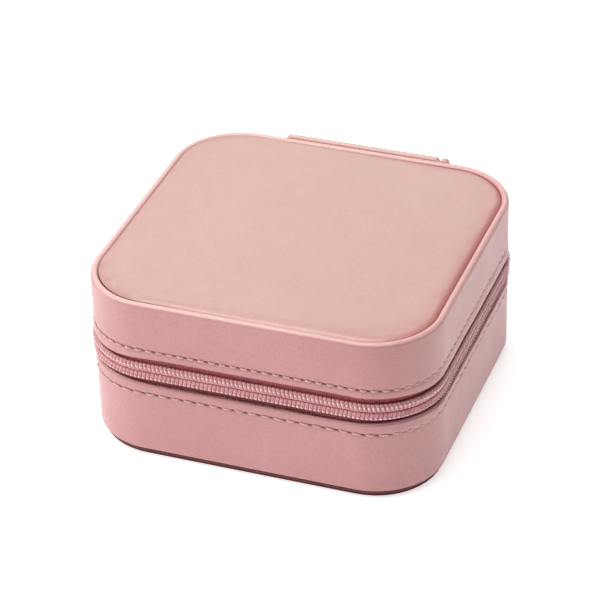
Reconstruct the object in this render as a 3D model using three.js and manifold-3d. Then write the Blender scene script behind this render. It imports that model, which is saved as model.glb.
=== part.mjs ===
// A travel jewellery case: two leather-covered halves joined by a leather hinge strip at the back
// and by a zip round the other three sides. Millimetres, +Z up, the zip's front side faces -Y.
// The origin is the centre of the underside. The lid is closed.
import * as THREE from "three";
import { mergeVertices } from "three/addons/utils/BufferGeometryUtils.js";
import Module from "manifold-3d";

const wasm = await Module();
wasm.setup();

// ---- Driving dimensions ----
const WIDTH = 100;
const DEPTH = 96;
const CORNER = 19.5;
const ARC_STEPS = 5;
const GAP = 0.3; // air between neighbouring pieces
const REST_GAP = 0.1; // between pieces that lie on each other

const SOLE_THICK = 2.1;
const SOLE_INSET = 1.2;
const BASE_BOTTOM = SOLE_THICK + GAP;
const BASE_TOP = 24.3;
const LID_BOTTOM = 32.9;
const LID_TOP = 50.1;
const RIM_WIDTH = 2;
const RIM_DEPTH = 2.2;
const PAD_RISE = 0.5;
const PAD_ROUND = 1.4;
const ZIP_MIDDLE = (BASE_TOP + LID_BOTTOM) / 2;

// Wall layers, as distances in from the outline.
const LEATHER = 0.8;
const EDGE_ROUND = 0.7;
const SOLE_ROUND = 0.5;
const TAPE_OUT = LEATHER + GAP;
const TAPE_IN = TAPE_OUT + 0.5;
const FRAME_OUT = TAPE_IN + GAP;
const FRAME_IN = FRAME_OUT + 1.5;
const LINING_OUT = FRAME_IN + GAP;
const LINING_IN = LINING_OUT + 0.7;
const PANEL_INSET = LINING_IN + GAP + 0.1;
const LINING_THICK = LINING_IN - LINING_OUT;
const BOARD_THICK = 1.6;
const HEM = 6; // how far the base's leather turns in under the floor
const FRAME_SHORT = 1.3; // how far each frame stops short of the leather's edge

const TAPE_HEM = 4.8; // how far each tape runs up behind the leather
const COIL_WIDTH = 1.8;
const COIL_THICK = 1.3;
const COIL_PROUD = 0.4; // how far the coils stand outside the leather
const COIL_GAP = 1.2; // left between the closed coils for the slider's wedge
const TAPE_GAP = 1.0;
const CHAIN_END_Y = 27;
const STOP_LENGTH = 1.6;

const HINGE_CENTRE = 2;
const HINGE_WIDTH = 50;
const HINGE_THICK = 1.3;
const HINGE_STANDOFF = COIL_PROUD + GAP;
const HINGE_COVER = 3; // how far the strip's ends lie over the zip's ends
const HINGE_FOLD = 2; // left open at the fold line
const HINGE_TOP = 49.6;
const HINGE_FOOT = 8;

const FLOOR_Z = BASE_BOTTOM + LEATHER + GAP + BOARD_THICK + GAP;
const TRAY_FLOOR = FLOOR_Z + LINING_THICK;
const CEILING = 44.5;
const PANEL_THICK = 1.2;
const PANEL_FACE = CEILING - GAP - PANEL_THICK;

const DIVIDER_THICK = 1.6;
const DIVIDER_TOP = 22;
const PARTITION_X = 8;
const ROLL_COUNT = 7;
const ROLL_HEIGHT = 14;

const STRAP_XS = { left: -26, centre: 0, right: 26 };
const STRAP_Y = -34; // the fold line that each necklace strap swings about
const STRAP_LENGTH = 15;
const STRAP_WIDTH = 8;
const STRAP_THICK = 1;
const STRAP_ROOT = 4;
const STRAP_DROP = 2.2; // from the panel to the strap's near face
const SNAP_RADIUS = 3.2;
const SNAP_HEIGHT = 1;
const STUD_RADIUS = 2.8;

const POCKET_HALF = 41;
const POCKET_FRONT = 2;
const POCKET_BACK = 42.4;
const POCKET_DEPTH = 6.3;
const POCKET_SKIN = 1;
const BAND_WIDTH = 5;
const BAND_THICK = 0.7;

const SLIDER_Y = 22;
const SLIDER_LENGTH = 8.6;
const SLIDER_WIDTH = 6.4;
const PLATE = 1;
const WEDGE_LENGTH = 3;
const WEDGE_THICK = 0.5;
const FLANGE = 0.5;
const BRIDGE_LENGTH = 5.2;
const BRIDGE_RISE = 2.2;
const BRIDGE_WIDTH = 1.6;
const BRIDGE_BAR = 0.8;
const BRIDGE_LEG = 0.9;
const TAB_LENGTH = 17;
const TAB_WIDTH = 5.4;
const TAB_THICK = 1;
const TAB_EYE = 3.2; // the eye's length from the pin, round which the bridge passes
const TAB_ARMS = 4.2;
const TAB_HOLE = 1.2;

// ---- Materials ----
const material = (color, roughness, metalness = 0) =>
  new THREE.MeshStandardMaterial({ color, roughness, metalness });
const pinkLeather = material(0xd9a3a3, 0.45);
const padLeather = material(0xe6bab2, 0.45);
const darkLeather = material(0x6e3436, 0.6);
const velvet = material(0xc98d90, 0.95);
const board = material(0xb9a58c, 0.9);
const foam = material(0xeee6dc, 0.95);
const tapeCloth = material(0xb05c66, 0.85);
const nylon = material(0xe0a0a6, 0.35);
const elastic = material(0xc07b80, 0.9);
const roseMetal = material(0xd8a48f, 0.25, 1);

// ---- Solids: manifold-3d joins and cuts, three.js draws ----
function solidOf(geometry) {
  const bare = geometry.index ? geometry.toNonIndexed() : geometry.clone();
  bare.deleteAttribute("normal");
  bare.deleteAttribute("uv");
  const merged = mergeVertices(bare, 1e-4);
  return new wasm.Manifold(
    new wasm.Mesh({
      numProp: 3,
      vertProperties: new Float32Array(merged.attributes.position.array),
      triVerts: new Uint32Array(merged.index.array),
    }),
  );
}

function geometryOf(solid) {
  const mesh = solid.getMesh();
  const positions = new Float32Array(mesh.numVert * 3);
  for (let i = 0; i < mesh.numVert; i++) {
    const first = i * mesh.numProp;
    positions.set(mesh.vertProperties.subarray(first, first + 3), i * 3);
  }
  const geometry = new THREE.BufferGeometry();
  geometry.setAttribute("position", new THREE.BufferAttribute(positions, 3));
  geometry.setIndex(new THREE.BufferAttribute(mesh.triVerts, 1));
  geometry.computeVertexNormals();
  return geometry;
}

// The case's plan outline, moved in by inset.
function outline(inset) {
  const x = WIDTH / 2 - inset;
  const y = DEPTH / 2 - inset;
  const r = CORNER - inset;
  const shape = new THREE.Shape();
  shape.absarc(x - r, y - r, r, 0, Math.PI / 2);
  shape.absarc(r - x, y - r, r, Math.PI / 2, Math.PI);
  shape.absarc(r - x, r - y, r, Math.PI, 1.5 * Math.PI);
  shape.absarc(x - r, r - y, r, 1.5 * Math.PI, 2 * Math.PI);
  shape.closePath();
  return shape;
}

function extruded(shape, z0, z1, bevel = 0) {
  const geometry = new THREE.ExtrudeGeometry(shape, {
    depth: z1 - z0 - 2 * bevel,
    curveSegments: ARC_STEPS,
    bevelEnabled: bevel > 0,
    bevelThickness: bevel,
    bevelSize: bevel,
    bevelOffset: -bevel,
    bevelSegments: 2,
  });
  geometry.translate(0, 0, z0 + bevel);
  return solidOf(geometry);
}

const slab = (inset, z0, z1, bevel) => extruded(outline(inset), z0, z1, bevel);
const ring = (out, inner, z0, z1) =>
  slab(out, z0, z1).subtract(slab(inner, z0 - 1, z1 + 1));

function box(x0, x1, y0, y1, z0, z1) {
  const geometry = new THREE.BoxGeometry(x1 - x0, y1 - y0, z1 - z0);
  geometry.translate((x0 + x1) / 2, (y0 + y1) / 2, (z0 + z1) / 2);
  return solidOf(geometry);
}

function upright(radius, x, y, z0, z1, sides = 24) {
  const geometry = new THREE.CylinderGeometry(radius, radius, z1 - z0, sides);
  geometry.rotateX(Math.PI / 2);
  geometry.translate(x, y, (z0 + z1) / 2);
  return solidOf(geometry);
}

// The zip's route: from the hinge strip round the right side, the front and the left side.
// It stops on the left side at endY, or goes on round the corner to the hinge strip.
function route(inset, endY) {
  const x = WIDTH / 2 - inset;
  const y = DEPTH / 2 - inset;
  const r = CORNER - inset;
  const under = HINGE_WIDTH / 2 - HINGE_COVER;
  const path = new THREE.Path();
  path.moveTo(HINGE_CENTRE + under, y);
  path.lineTo(x - r, y);
  path.absarc(x - r, y - r, r, Math.PI / 2, 0, true);
  path.absarc(x - r, r - y, r, 0, -Math.PI / 2, true);
  path.absarc(r - x, r - y, r, -Math.PI / 2, -Math.PI, true);
  if (endY !== undefined) {
    path.lineTo(-x, endY);
  } else {
    path.absarc(r - x, y - r, r, Math.PI, Math.PI / 2, true);
    path.lineTo(HINGE_CENTRE - under, y);
  }
  return path.getPoints(ARC_STEPS);
}

function zipBand(out, inner, z0, z1, endY) {
  const points = [...route(out, endY), ...route(inner, endY).reverse()];
  return extruded(new THREE.Shape(points), z0, z1);
}

// ---- The case, node by node ----
const jewelleryCase = new THREE.Group();
const baseHalf = new THREE.Group();
const lidHalf = new THREE.Group();
const zipPull = new THREE.Group();
jewelleryCase.add(baseHalf, lidHalf, zipPull);

function node(group, name, solid, look) {
  const mesh = new THREE.Mesh(geometryOf(solid), look);
  mesh.name = name;
  group.add(mesh);
}

function baseShell() {
  const skin = slab(0, BASE_BOTTOM, BASE_TOP, EDGE_ROUND)
    .subtract(slab(LEATHER, BASE_BOTTOM + LEATHER, BASE_TOP + 1))
    .subtract(slab(HEM, BASE_BOTTOM - 1, BASE_BOTTOM + 2));
  node(baseHalf, "base_leather_band", skin, pinkLeather);
  node(baseHalf, "sole_panel", slab(SOLE_INSET, 0, SOLE_THICK, SOLE_ROUND), darkLeather);
  const boardZ = BASE_BOTTOM + LEATHER + GAP;
  node(baseHalf, "base_floor_board", slab(TAPE_OUT, boardZ, boardZ + BOARD_THICK), board);
  const frame = ring(FRAME_OUT, FRAME_IN, FLOOR_Z, BASE_TOP - FRAME_SHORT);
  node(baseHalf, "base_frame", frame, board);
}

function baseLining() {
  const lip = BASE_TOP - GAP;
  const tray = slab(LINING_OUT, FLOOR_Z, lip)
    .add(slab(FRAME_OUT, lip - LINING_THICK, lip))
    .subtract(slab(LINING_IN, TRAY_FLOOR, lip + 1));
  node(baseHalf, "base_lining", tray, velvet);
}

// Arch-topped foam rolls. Rings are pushed into the valleys between them.
function ringRolls() {
  const inside = DEPTH / 2 - PANEL_INSET;
  const pitch = (2 * inside) / ROLL_COUNT;
  const radius = pitch / 2 - GAP / 2;
  const x0 = PARTITION_X + DIVIDER_THICK / 2 + GAP;
  const z0 = TRAY_FLOOR + REST_GAP;
  const toYZ = new THREE.Matrix4().makeBasis(
    new THREE.Vector3(0, 1, 0),
    new THREE.Vector3(0, 0, 1),
    new THREE.Vector3(1, 0, 0),
  );
  const trayRoom = slab(PANEL_INSET, z0 - 1, z0 + ROLL_HEIGHT + 1);
  for (let i = 0; i < ROLL_COUNT; i++) {
    const y = -inside + (i + 0.5) * pitch;
    const arch = new THREE.Shape();
    arch.moveTo(y - radius, z0);
    arch.lineTo(y + radius, z0);
    arch.absarc(y, z0 + ROLL_HEIGHT - radius, radius, 0, Math.PI);
    arch.closePath();
    const geometry = new THREE.ExtrudeGeometry(arch, {
      depth: WIDTH / 2 - x0,
      curveSegments: ARC_STEPS,
      bevelEnabled: false,
    });
    geometry.translate(0, 0, x0);
    geometry.applyMatrix4(toYZ);
    node(baseHalf, `ring_roll_${i + 1}`, solidOf(geometry).intersect(trayRoom), velvet);
  }
}

function dividers() {
  const half = DEPTH / 2 - LINING_IN - GAP;
  const side = WIDTH / 2 - LINING_IN - GAP;
  const thick = DIVIDER_THICK / 2;
  const z0 = TRAY_FLOOR + REST_GAP;
  const partition = box(PARTITION_X - thick, PARTITION_X + thick, -half, half, z0, DIVIDER_TOP);
  node(baseHalf, "ring_partition", partition, velvet);
  const cross = box(-side, PARTITION_X - thick - GAP, -thick, thick, z0, DIVIDER_TOP);
  node(baseHalf, "cross_divider", cross, velvet);
}

function lidShell() {
  const roomTop = LID_TOP - RIM_DEPTH;
  const skin = slab(0, LID_BOTTOM, LID_TOP, EDGE_ROUND)
    .subtract(slab(LEATHER, LID_BOTTOM - 1, roomTop))
    .subtract(slab(RIM_WIDTH, LID_BOTTOM - 1, LID_TOP + 1));
  node(lidHalf, "lid_leather_band", skin, pinkLeather);
  const boardTop = roomTop - GAP;
  const boardZ = boardTop - BOARD_THICK;
  node(lidHalf, "lid_top_board", slab(TAPE_OUT, boardZ, boardTop), board);
  const frame = ring(FRAME_OUT, FRAME_IN, LID_BOTTOM + FRAME_SHORT, boardZ - GAP);
  node(lidHalf, "lid_frame", frame, board);
}

function lidPad() {
  const edge = RIM_WIDTH + GAP;
  const foot = LID_TOP - RIM_DEPTH;
  const top = LID_TOP + PAD_RISE;
  const cover = slab(edge, foot - PAD_ROUND, top, PAD_ROUND)
    .subtract(slab(0, foot - 3, foot))
    .subtract(slab(edge + LEATHER, foot - 1, top - LEATHER));
  node(lidHalf, "lid_pad_cover", cover, padLeather);
  const fill = slab(edge + LEATHER + GAP, foot, top - LEATHER - GAP);
  node(lidHalf, "lid_pad_foam", fill, foam);
}

function lidLining() {
  const lip = LID_BOTTOM + GAP;
  const tray = slab(LINING_OUT, lip, CEILING + LINING_THICK)
    .add(slab(FRAME_OUT, lip, lip + LINING_THICK))
    .subtract(slab(LINING_IN, lip - 1, CEILING));
  node(lidHalf, "lid_lining", tray, velvet);
  node(lidHalf, "lid_panel", slab(PANEL_INSET, PANEL_FACE, PANEL_FACE + PANEL_THICK), velvet);
}

// A pouch open towards the front, with an elastic band along its mouth.
function pocket() {
  const z1 = PANEL_FACE - REST_GAP;
  const z0 = z1 - POCKET_DEPTH;
  const wall = PANEL_INSET + 1;
  const reach = POCKET_HALF - POCKET_SKIN;
  const back = POCKET_BACK - POCKET_SKIN;
  const pouch = box(-POCKET_HALF, POCKET_HALF, POCKET_FRONT, POCKET_BACK, z0, z1)
    .intersect(slab(wall, z0 - 1, z1 + 1));
  const hollow = box(-reach, reach, POCKET_FRONT - 1, back, z0 + POCKET_SKIN, z1 + 1)
    .intersect(slab(wall + POCKET_SKIN, z0, z1 + 2));
  node(lidHalf, "pocket", pouch.subtract(hollow), velvet);
  const bandTop = z0 - REST_GAP;
  const bandBack = POCKET_FRONT + BAND_WIDTH;
  const band = box(-POCKET_HALF, POCKET_HALF, POCKET_FRONT, bandBack, bandTop - BAND_THICK, bandTop);
  node(lidHalf, "pocket_elastic", band, elastic);
}

// A necklace strap: a leather tongue that folds down from the panel and snaps shut on a stud.
function necklaceStrap(label, x) {
  const z1 = PANEL_FACE - STRAP_DROP;
  const z0 = z1 - STRAP_THICK;
  const half = STRAP_WIDTH / 2;
  const snapY = STRAP_Y + STRAP_LENGTH - half;
  const panelZ = PANEL_FACE - REST_GAP;
  const tongue = box(x - half, x + half, STRAP_Y + GAP, snapY, z0, z1)
    .add(upright(half, x, snapY, z0, z1));
  node(lidHalf, `strap_${label}`, tongue, pinkLeather);
  const root = box(x - half, x + half, STRAP_Y - STRAP_ROOT, STRAP_Y, z0, panelZ);
  node(lidHalf, `strap_root_${label}`, root, pinkLeather);
  const stud = upright(STUD_RADIUS, x, snapY, z1 + REST_GAP, panelZ);
  node(lidHalf, `snap_stud_${label}`, stud, roseMetal);
  node(lidHalf, `snap_cap_${label}`, snapCap(x, snapY, z0 - REST_GAP), roseMetal);
}

function snapCap(x, y, top) {
  const profile = [
    new THREE.Vector2(0, 0),
    new THREE.Vector2(SNAP_RADIUS * 0.6, SNAP_HEIGHT * 0.15),
    new THREE.Vector2(SNAP_RADIUS, SNAP_HEIGHT * 0.7),
    new THREE.Vector2(SNAP_RADIUS, SNAP_HEIGHT),
    new THREE.Vector2(0, SNAP_HEIGHT),
  ];
  const cap = new THREE.LatheGeometry(profile, 24);
  cap.rotateX(Math.PI / 2);
  cap.translate(x, y, top - SNAP_HEIGHT);
  return solidOf(cap);
}

function zipHalves() {
  const lowEdge = ZIP_MIDDLE - TAPE_GAP / 2;
  const highEdge = ZIP_MIDDLE + TAPE_GAP / 2;
  const lower = zipBand(TAPE_OUT, TAPE_IN, BASE_TOP - TAPE_HEM, lowEdge);
  node(baseHalf, "lower_zip_tape", lower, tapeCloth);
  const upper = zipBand(TAPE_OUT, TAPE_IN, highEdge, LID_BOTTOM + TAPE_HEM);
  node(lidHalf, "upper_zip_tape", upper, tapeCloth);
  zipCoil(baseHalf, "lower", ZIP_MIDDLE - COIL_GAP / 2 - COIL_WIDTH);
  zipCoil(lidHalf, "upper", ZIP_MIDDLE + COIL_GAP / 2);
}

function zipCoil(half, side, z0) {
  const z1 = z0 + COIL_WIDTH;
  const inner = COIL_THICK - COIL_PROUD;
  const coil = zipBand(-COIL_PROUD, inner, z0, z1, CHAIN_END_Y);
  node(half, `${side}_zip_coil`, coil, nylon);
  const x0 = -WIDTH / 2 - COIL_PROUD;
  const y0 = CHAIN_END_Y + GAP;
  const stop = box(x0, x0 + COIL_THICK, y0, y0 + STOP_LENGTH, z0, z1);
  node(half, `${side}_top_stop`, stop, roseMetal);
}

// One strip of leather, drawn as two leaves with the fold line open between them.
function hingeStrip() {
  const x0 = HINGE_CENTRE - HINGE_WIDTH / 2;
  const y0 = DEPTH / 2 + HINGE_STANDOFF;
  const leaf = (z0, z1) => box(x0, x0 + HINGE_WIDTH, y0, y0 + HINGE_THICK, z0, z1);
  const fold = HINGE_FOLD / 2;
  node(baseHalf, "hinge_strip_lower", leaf(HINGE_FOOT, ZIP_MIDDLE - fold), pinkLeather);
  node(lidHalf, "hinge_strip_upper", leaf(ZIP_MIDDLE + fold, HINGE_TOP), pinkLeather);
}

// The slider runs on the left side. Its wedge is a thin web, because the coils are drawn closed,
// and it is flanged only on the base's side, so that the lid's coil lifts out of it.
function slider() {
  const wall = -WIDTH / 2;
  const y0 = SLIDER_Y - SLIDER_LENGTH / 2;
  const y1 = SLIDER_Y + SLIDER_LENGTH / 2;
  const z0 = ZIP_MIDDLE - SLIDER_WIDTH / 2;
  const z1 = ZIP_MIDDLE + SLIDER_WIDTH / 2;
  const frontIn = wall - COIL_PROUD - GAP;
  const frontOut = frontIn - PLATE;
  const backOut = wall + TAPE_IN + GAP;
  const bite = 0.2; // joined boxes run into each other by this much
  const web0 = ZIP_MIDDLE - WEDGE_THICK / 2;
  const frontPlate = box(frontOut, frontIn, y0, y1, z0, z1);
  const backPlate = box(backOut, backOut + PLATE, y0, y1, z0, z1);
  const wedge = box(frontIn - bite, backOut + bite, y1 - WEDGE_LENGTH, y1, web0, web0 + WEDGE_THICK);
  const flange = box(frontIn - bite, wall + LEATHER, y0, y1, z0, z0 + FLANGE);
  const body = frontPlate.add(backPlate).add(wedge).add(flange).add(bridge(frontOut, bite));
  node(zipPull, "zip_slider", body, roseMetal);
  pullTab(frontOut - (BRIDGE_RISE - BRIDGE_BAR) / 2);
}

function bridge(plateX, bite) {
  const x0 = plateX - BRIDGE_RISE;
  const half = BRIDGE_LENGTH / 2;
  const hole = half - BRIDGE_LEG;
  const z0 = ZIP_MIDDLE - BRIDGE_WIDTH / 2;
  const z1 = ZIP_MIDDLE + BRIDGE_WIDTH / 2;
  return box(x0, plateX + bite, SLIDER_Y - half, SLIDER_Y + half, z0, z1)
    .subtract(box(x0 + BRIDGE_BAR, plateX, SLIDER_Y - hole, SLIDER_Y + hole, z0 - 1, z1 + 1));
}

// The tab hangs on a pin through the bridge and lies forward along the coils.
function pullTab(x) {
  const half = TAB_THICK / 2;
  const round = TAB_WIDTH / 2;
  const armsZ0 = ZIP_MIDDLE - TAB_ARMS / 2;
  const armsZ1 = ZIP_MIDDLE + TAB_ARMS / 2;
  const arms = box(x - half, x + half, SLIDER_Y - TAB_EYE - 0.5, SLIDER_Y, armsZ0, armsZ1);
  const slot = TAB_ARMS / 2 - 1;
  const eyeY = SLIDER_Y - TAB_EYE;
  const eye = box(x - 1, x + 1, eyeY, SLIDER_Y + 1, ZIP_MIDDLE - slot, ZIP_MIDDLE + slot);
  const pin = upright(half, x, SLIDER_Y, armsZ0, armsZ1, 12);
  const plate = new THREE.Shape();
  plate.moveTo(-round, -TAB_EYE);
  plate.lineTo(-round, round - TAB_LENGTH);
  plate.absarc(0, round - TAB_LENGTH, round, Math.PI, 2 * Math.PI);
  plate.lineTo(round, -TAB_EYE);
  plate.closePath();
  const geometry = new THREE.ExtrudeGeometry(plate, {
    depth: TAB_THICK,
    curveSegments: ARC_STEPS,
    bevelEnabled: false,
  });
  geometry.rotateY(Math.PI / 2);
  geometry.translate(x - half, SLIDER_Y, ZIP_MIDDLE);
  const hole = new THREE.CylinderGeometry(TAB_HOLE, TAB_HOLE, 2 * TAB_THICK, 16);
  hole.rotateZ(Math.PI / 2);
  hole.translate(x, SLIDER_Y - TAB_LENGTH + round, ZIP_MIDDLE);
  const tab = solidOf(geometry).add(arms).subtract(eye).add(pin).subtract(solidOf(hole));
  node(zipPull, "pull_tab", tab, roseMetal);
}

baseShell();
baseLining();
ringRolls();
dividers();
lidShell();
lidPad();
lidLining();
pocket();
Object.entries(STRAP_XS).forEach(([label, x]) => necklaceStrap(label, x));
zipHalves();
hingeStrip();
slider();

export default jewelleryCase;
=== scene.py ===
"""A small pink leather travel jewellery case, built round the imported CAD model.

Lengths in this script are millimetres in the CAD's frame, and turn into metres in make_mesh() and box_of().
The case is closed at rest. +Z is up, the zip's front side faces -Y and the hinge strip is at +Y.
"""

import math

import bpy
import numpy as np
from mathutils import Matrix, Vector


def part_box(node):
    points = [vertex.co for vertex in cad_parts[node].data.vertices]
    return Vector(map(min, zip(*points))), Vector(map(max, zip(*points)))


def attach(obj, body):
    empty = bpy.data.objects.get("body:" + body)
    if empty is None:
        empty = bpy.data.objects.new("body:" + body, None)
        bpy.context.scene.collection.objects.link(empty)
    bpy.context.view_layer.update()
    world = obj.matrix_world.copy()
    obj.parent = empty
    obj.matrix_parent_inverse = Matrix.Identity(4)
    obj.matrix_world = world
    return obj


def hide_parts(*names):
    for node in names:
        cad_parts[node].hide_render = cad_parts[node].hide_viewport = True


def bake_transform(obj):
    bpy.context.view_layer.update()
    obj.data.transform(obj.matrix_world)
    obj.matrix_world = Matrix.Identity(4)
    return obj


MM = 0.001
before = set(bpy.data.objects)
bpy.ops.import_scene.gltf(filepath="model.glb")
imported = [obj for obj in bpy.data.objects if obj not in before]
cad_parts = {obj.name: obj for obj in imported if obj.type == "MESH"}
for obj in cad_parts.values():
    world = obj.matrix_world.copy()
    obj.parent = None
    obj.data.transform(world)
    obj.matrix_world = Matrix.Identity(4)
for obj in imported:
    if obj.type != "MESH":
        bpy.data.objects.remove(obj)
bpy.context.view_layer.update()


# ---- Where things are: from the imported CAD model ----
def box_of(node):
    """A CAD node's lowest and highest corners, in millimetres."""
    low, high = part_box(node)
    return np.array(low) / MM, np.array(high) / MM


BASE_LOW, BASE_HIGH = box_of("base_leather_band")
LID_LOW, LID_HIGH = box_of("lid_leather_band")
WIDTH = BASE_HIGH[0] - BASE_LOW[0]
DEPTH = BASE_HIGH[1] - BASE_LOW[1]
CORNER = 19.5  # the plan's corner radius
BASE_BOTTOM = BASE_LOW[2]
BASE_TOP = BASE_HIGH[2]
LID_BOTTOM = LID_LOW[2]
LID_TOP = LID_HIGH[2]
RIM_FOOT = box_of("lid_pad_foam")[0][2]
ZIP_MIDDLE = (BASE_TOP + LID_BOTTOM) / 2

# The plan's outline: a rounded rectangle, measured along its edge from the middle of the back,
# clockwise seen from above, so past the right side, the front and the left side.
SIDE_X = WIDTH - 2 * CORNER
SIDE_Y = DEPTH - 2 * CORNER
ARC = CORNER * math.pi / 2
PERIMETER = 2 * (SIDE_X + SIDE_Y) + 4 * ARC
RIGHT_BACK = SIDE_X / 2 + ARC / 2  # the middles of the four corners
RIGHT_FRONT = RIGHT_BACK + ARC + SIDE_Y
LEFT_FRONT = RIGHT_FRONT + ARC + SIDE_X
LEFT_BACK = LEFT_FRONT + ARC + SIDE_Y


def outline(s):
    """Points and outward normals of the outline, at distances s along it."""
    s = np.mod(np.asarray(s, float), PERIMETER)
    x0, y0 = SIDE_X / 2, SIDE_Y / 2
    legs = [
        ("line", SIDE_X / 2, (0, y0 + CORNER), 90),
        ("arc", ARC, (x0, y0), 90),
        ("line", SIDE_Y, (x0 + CORNER, y0), 0),
        ("arc", ARC, (x0, -y0), 0),
        ("line", SIDE_X, (x0, -y0 - CORNER), -90),
        ("arc", ARC, (-x0, -y0), -90),
        ("line", SIDE_Y, (-x0 - CORNER, -y0), 180),
        ("arc", ARC, (-x0, y0), 180),
        ("line", SIDE_X / 2, (-x0, y0 + CORNER), 90),
    ]
    points = np.zeros((len(s), 2))
    normals = np.zeros((len(s), 2))
    start = 0.0
    for kind, length, at, degrees in legs:
        here = (s >= start - 1e-9) & (s <= start + length + 1e-9)
        along = s[here] - start
        if kind == "line":
            turn = math.radians(degrees)
            n = np.array([math.cos(turn), math.sin(turn)])
            points[here] = np.array(at) + along[:, None] * np.array([n[1], -n[0]])
            normals[here] = n
        else:
            angle = math.radians(degrees) - along / CORNER
            n = np.stack([np.cos(angle), np.sin(angle)], axis=1)
            points[here] = np.array(at) + CORNER * n
            normals[here] = n
        start += length
    return points, normals


def along_of(side, value):
    """The distance along the outline of a place on a straight side: x on the back or front, y on a side."""
    if side == "back":
        return value
    if side == "right":
        return SIDE_X / 2 + ARC + SIDE_Y / 2 - value
    if side == "front":
        return SIDE_X / 2 + 2 * ARC + SIDE_Y + SIDE_X / 2 - value
    return LEFT_FRONT + ARC / 2 + SIDE_Y / 2 + value


def bump(s, centre, reach):
    """A smooth hump, 1 at centre along the outline and 0 beyond reach."""
    off = np.abs(np.mod(np.asarray(s, float) - centre + PERIMETER / 2, PERIMETER) - PERIMETER / 2)
    t = np.clip(1 - off / reach, 0, 1)
    return t * t * (3 - 2 * t)


def smooth(t):
    t = np.clip(t, 0, 1)
    return t * t * (3 - 2 * t)


def tightness(x, y):
    """How closely the top panel fits the rim: 1 at the left and back, 0 at the right and front right."""
    return smooth(0.55 - 0.9 * x / WIDTH + 0.35 * y / DEPTH)


def turns(count):
    """Angles evenly round a circle, in radians."""
    return [2 * math.pi * k / count for k in range(count)]


def boxy(turn, power, power_z=None):
    """A point on a circle pushed out towards a square. A power of 1 is round, and a lower one squarer."""
    c, s = math.cos(turn), math.sin(turn)
    return math.copysign(abs(c) ** power, c), math.copysign(abs(s) ** (power_z or power), s)


def round_corners(x, y, half_x, half_y, corner):
    """Moves a rectangular grid's points so that they follow the rectangle's round corners."""
    a = np.abs(x) - (half_x - corner)
    b = np.abs(y) - (half_y - corner)
    both = (a > 0) & (b > 0)
    pull = np.where(both, np.maximum(a, b) / np.maximum(np.hypot(a, b), 1e-9), 1.0)
    round_x = np.where(both, np.sign(x) * (half_x - corner + a * pull), x)
    round_y = np.where(both, np.sign(y) * (half_y - corner + b * pull), y)
    return round_x, round_y


# ---- Meshes ----
def make_mesh(name, points, faces, material):
    """A smooth mesh object from points in millimetres."""
    mesh = bpy.data.meshes.new(name)
    mesh.from_pydata((np.asarray(points, float) * MM).tolist(), [], faces)
    mesh.validate()
    mesh.polygons.foreach_set("use_smooth", [True] * len(mesh.polygons))
    mesh.materials.append(material)
    mesh.update()
    piece = bpy.data.objects.new(name, mesh)
    bpy.context.scene.collection.objects.link(piece)
    return piece


def vertices(mesh):
    """A mesh's points as an array, in metres."""
    return np.array([v.co for v in mesh.vertices], float)


def move_vertices(mesh, points):
    mesh.vertices.foreach_set("co", points.astype(np.float32).ravel())
    mesh.update()


def outwards(piece):
    """Turns a closed mesh's faces so that they look outwards."""
    mesh = piece.data
    co = vertices(mesh)
    mesh.calc_loop_triangles()
    tri = np.array([t.vertices for t in mesh.loop_triangles])
    a, b, c = co[tri[:, 0]], co[tri[:, 1]], co[tri[:, 2]]
    if float((a * np.cross(b, c)).sum()) < 0:
        mesh.flip_normals()


def solid(name, points, faces, material):
    """A closed mesh whose faces look outwards."""
    piece = make_mesh(name, points, faces, material)
    outwards(piece)
    return piece


def grid_faces(rows, columns, wrap_rows=False, wrap_columns=False):
    """Quads over points laid out as rows x columns."""
    faces = []
    for i in range(rows if wrap_rows else rows - 1):
        k = (i + 1) % rows
        for j in range(columns if wrap_columns else columns - 1):
            m = (j + 1) % columns
            faces.append((i * columns + j, i * columns + m, k * columns + m, k * columns + j))
    return faces


def tube_faces(rows, sides):
    """Quads over a tube of rows x sides points, and a cap on each end."""
    caps = [tuple(range(sides))[::-1], tuple((rows - 1) * sides + k for k in range(sides))]
    return grid_faces(rows, sides, wrap_columns=True) + caps


def slab_faces(rows, columns):
    """Faces over two skins of rows x columns points, and the skirt between their borders."""
    skin = grid_faces(rows, columns)
    border = list(range(columns))
    border += [i * columns + columns - 1 for i in range(1, rows)]
    border += [(rows - 1) * columns + j for j in range(columns - 2, -1, -1)]
    border += [i * columns for i in range(rows - 2, 0, -1)]
    shift = rows * columns
    other = [tuple(shift + k for k in reversed(f)) for f in skin]
    skirt = [(a, b, shift + b, shift + a) for a, b in zip(border, border[1:] + border[:1])]
    return skin + other + skirt


def ring_points(s, inset, z):
    """Points at distances s along the outline, moved in by inset and at height z, both rows x columns."""
    places, normals = outline(s)
    inset, z = np.broadcast_arrays(inset, z)
    points = np.zeros(inset.shape + (3,))
    points[..., 0] = places[:, None, 0] - normals[:, None, 0] * inset
    points[..., 1] = places[:, None, 1] - normals[:, None, 1] * inset
    points[..., 2] = z
    return points


def sweep(name, s, inset, z, material, whole=True):
    """A closed profile, given as insets and heights (stations x profile), swept along the outline."""
    points = ring_points(s, inset, z)
    rows, columns = points.shape[:2]
    faces = grid_faces(rows, columns, True, True) if whole else tube_faces(rows, columns)
    return solid(name, points.reshape(-1, 3), faces, material)


def add_value(piece, name, values):
    """A number for each point, which a material can read."""
    layer = piece.data.attributes.new(name, "FLOAT", "POINT")
    layer.data.foreach_set("value", np.asarray(values, np.float32).ravel())


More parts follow.
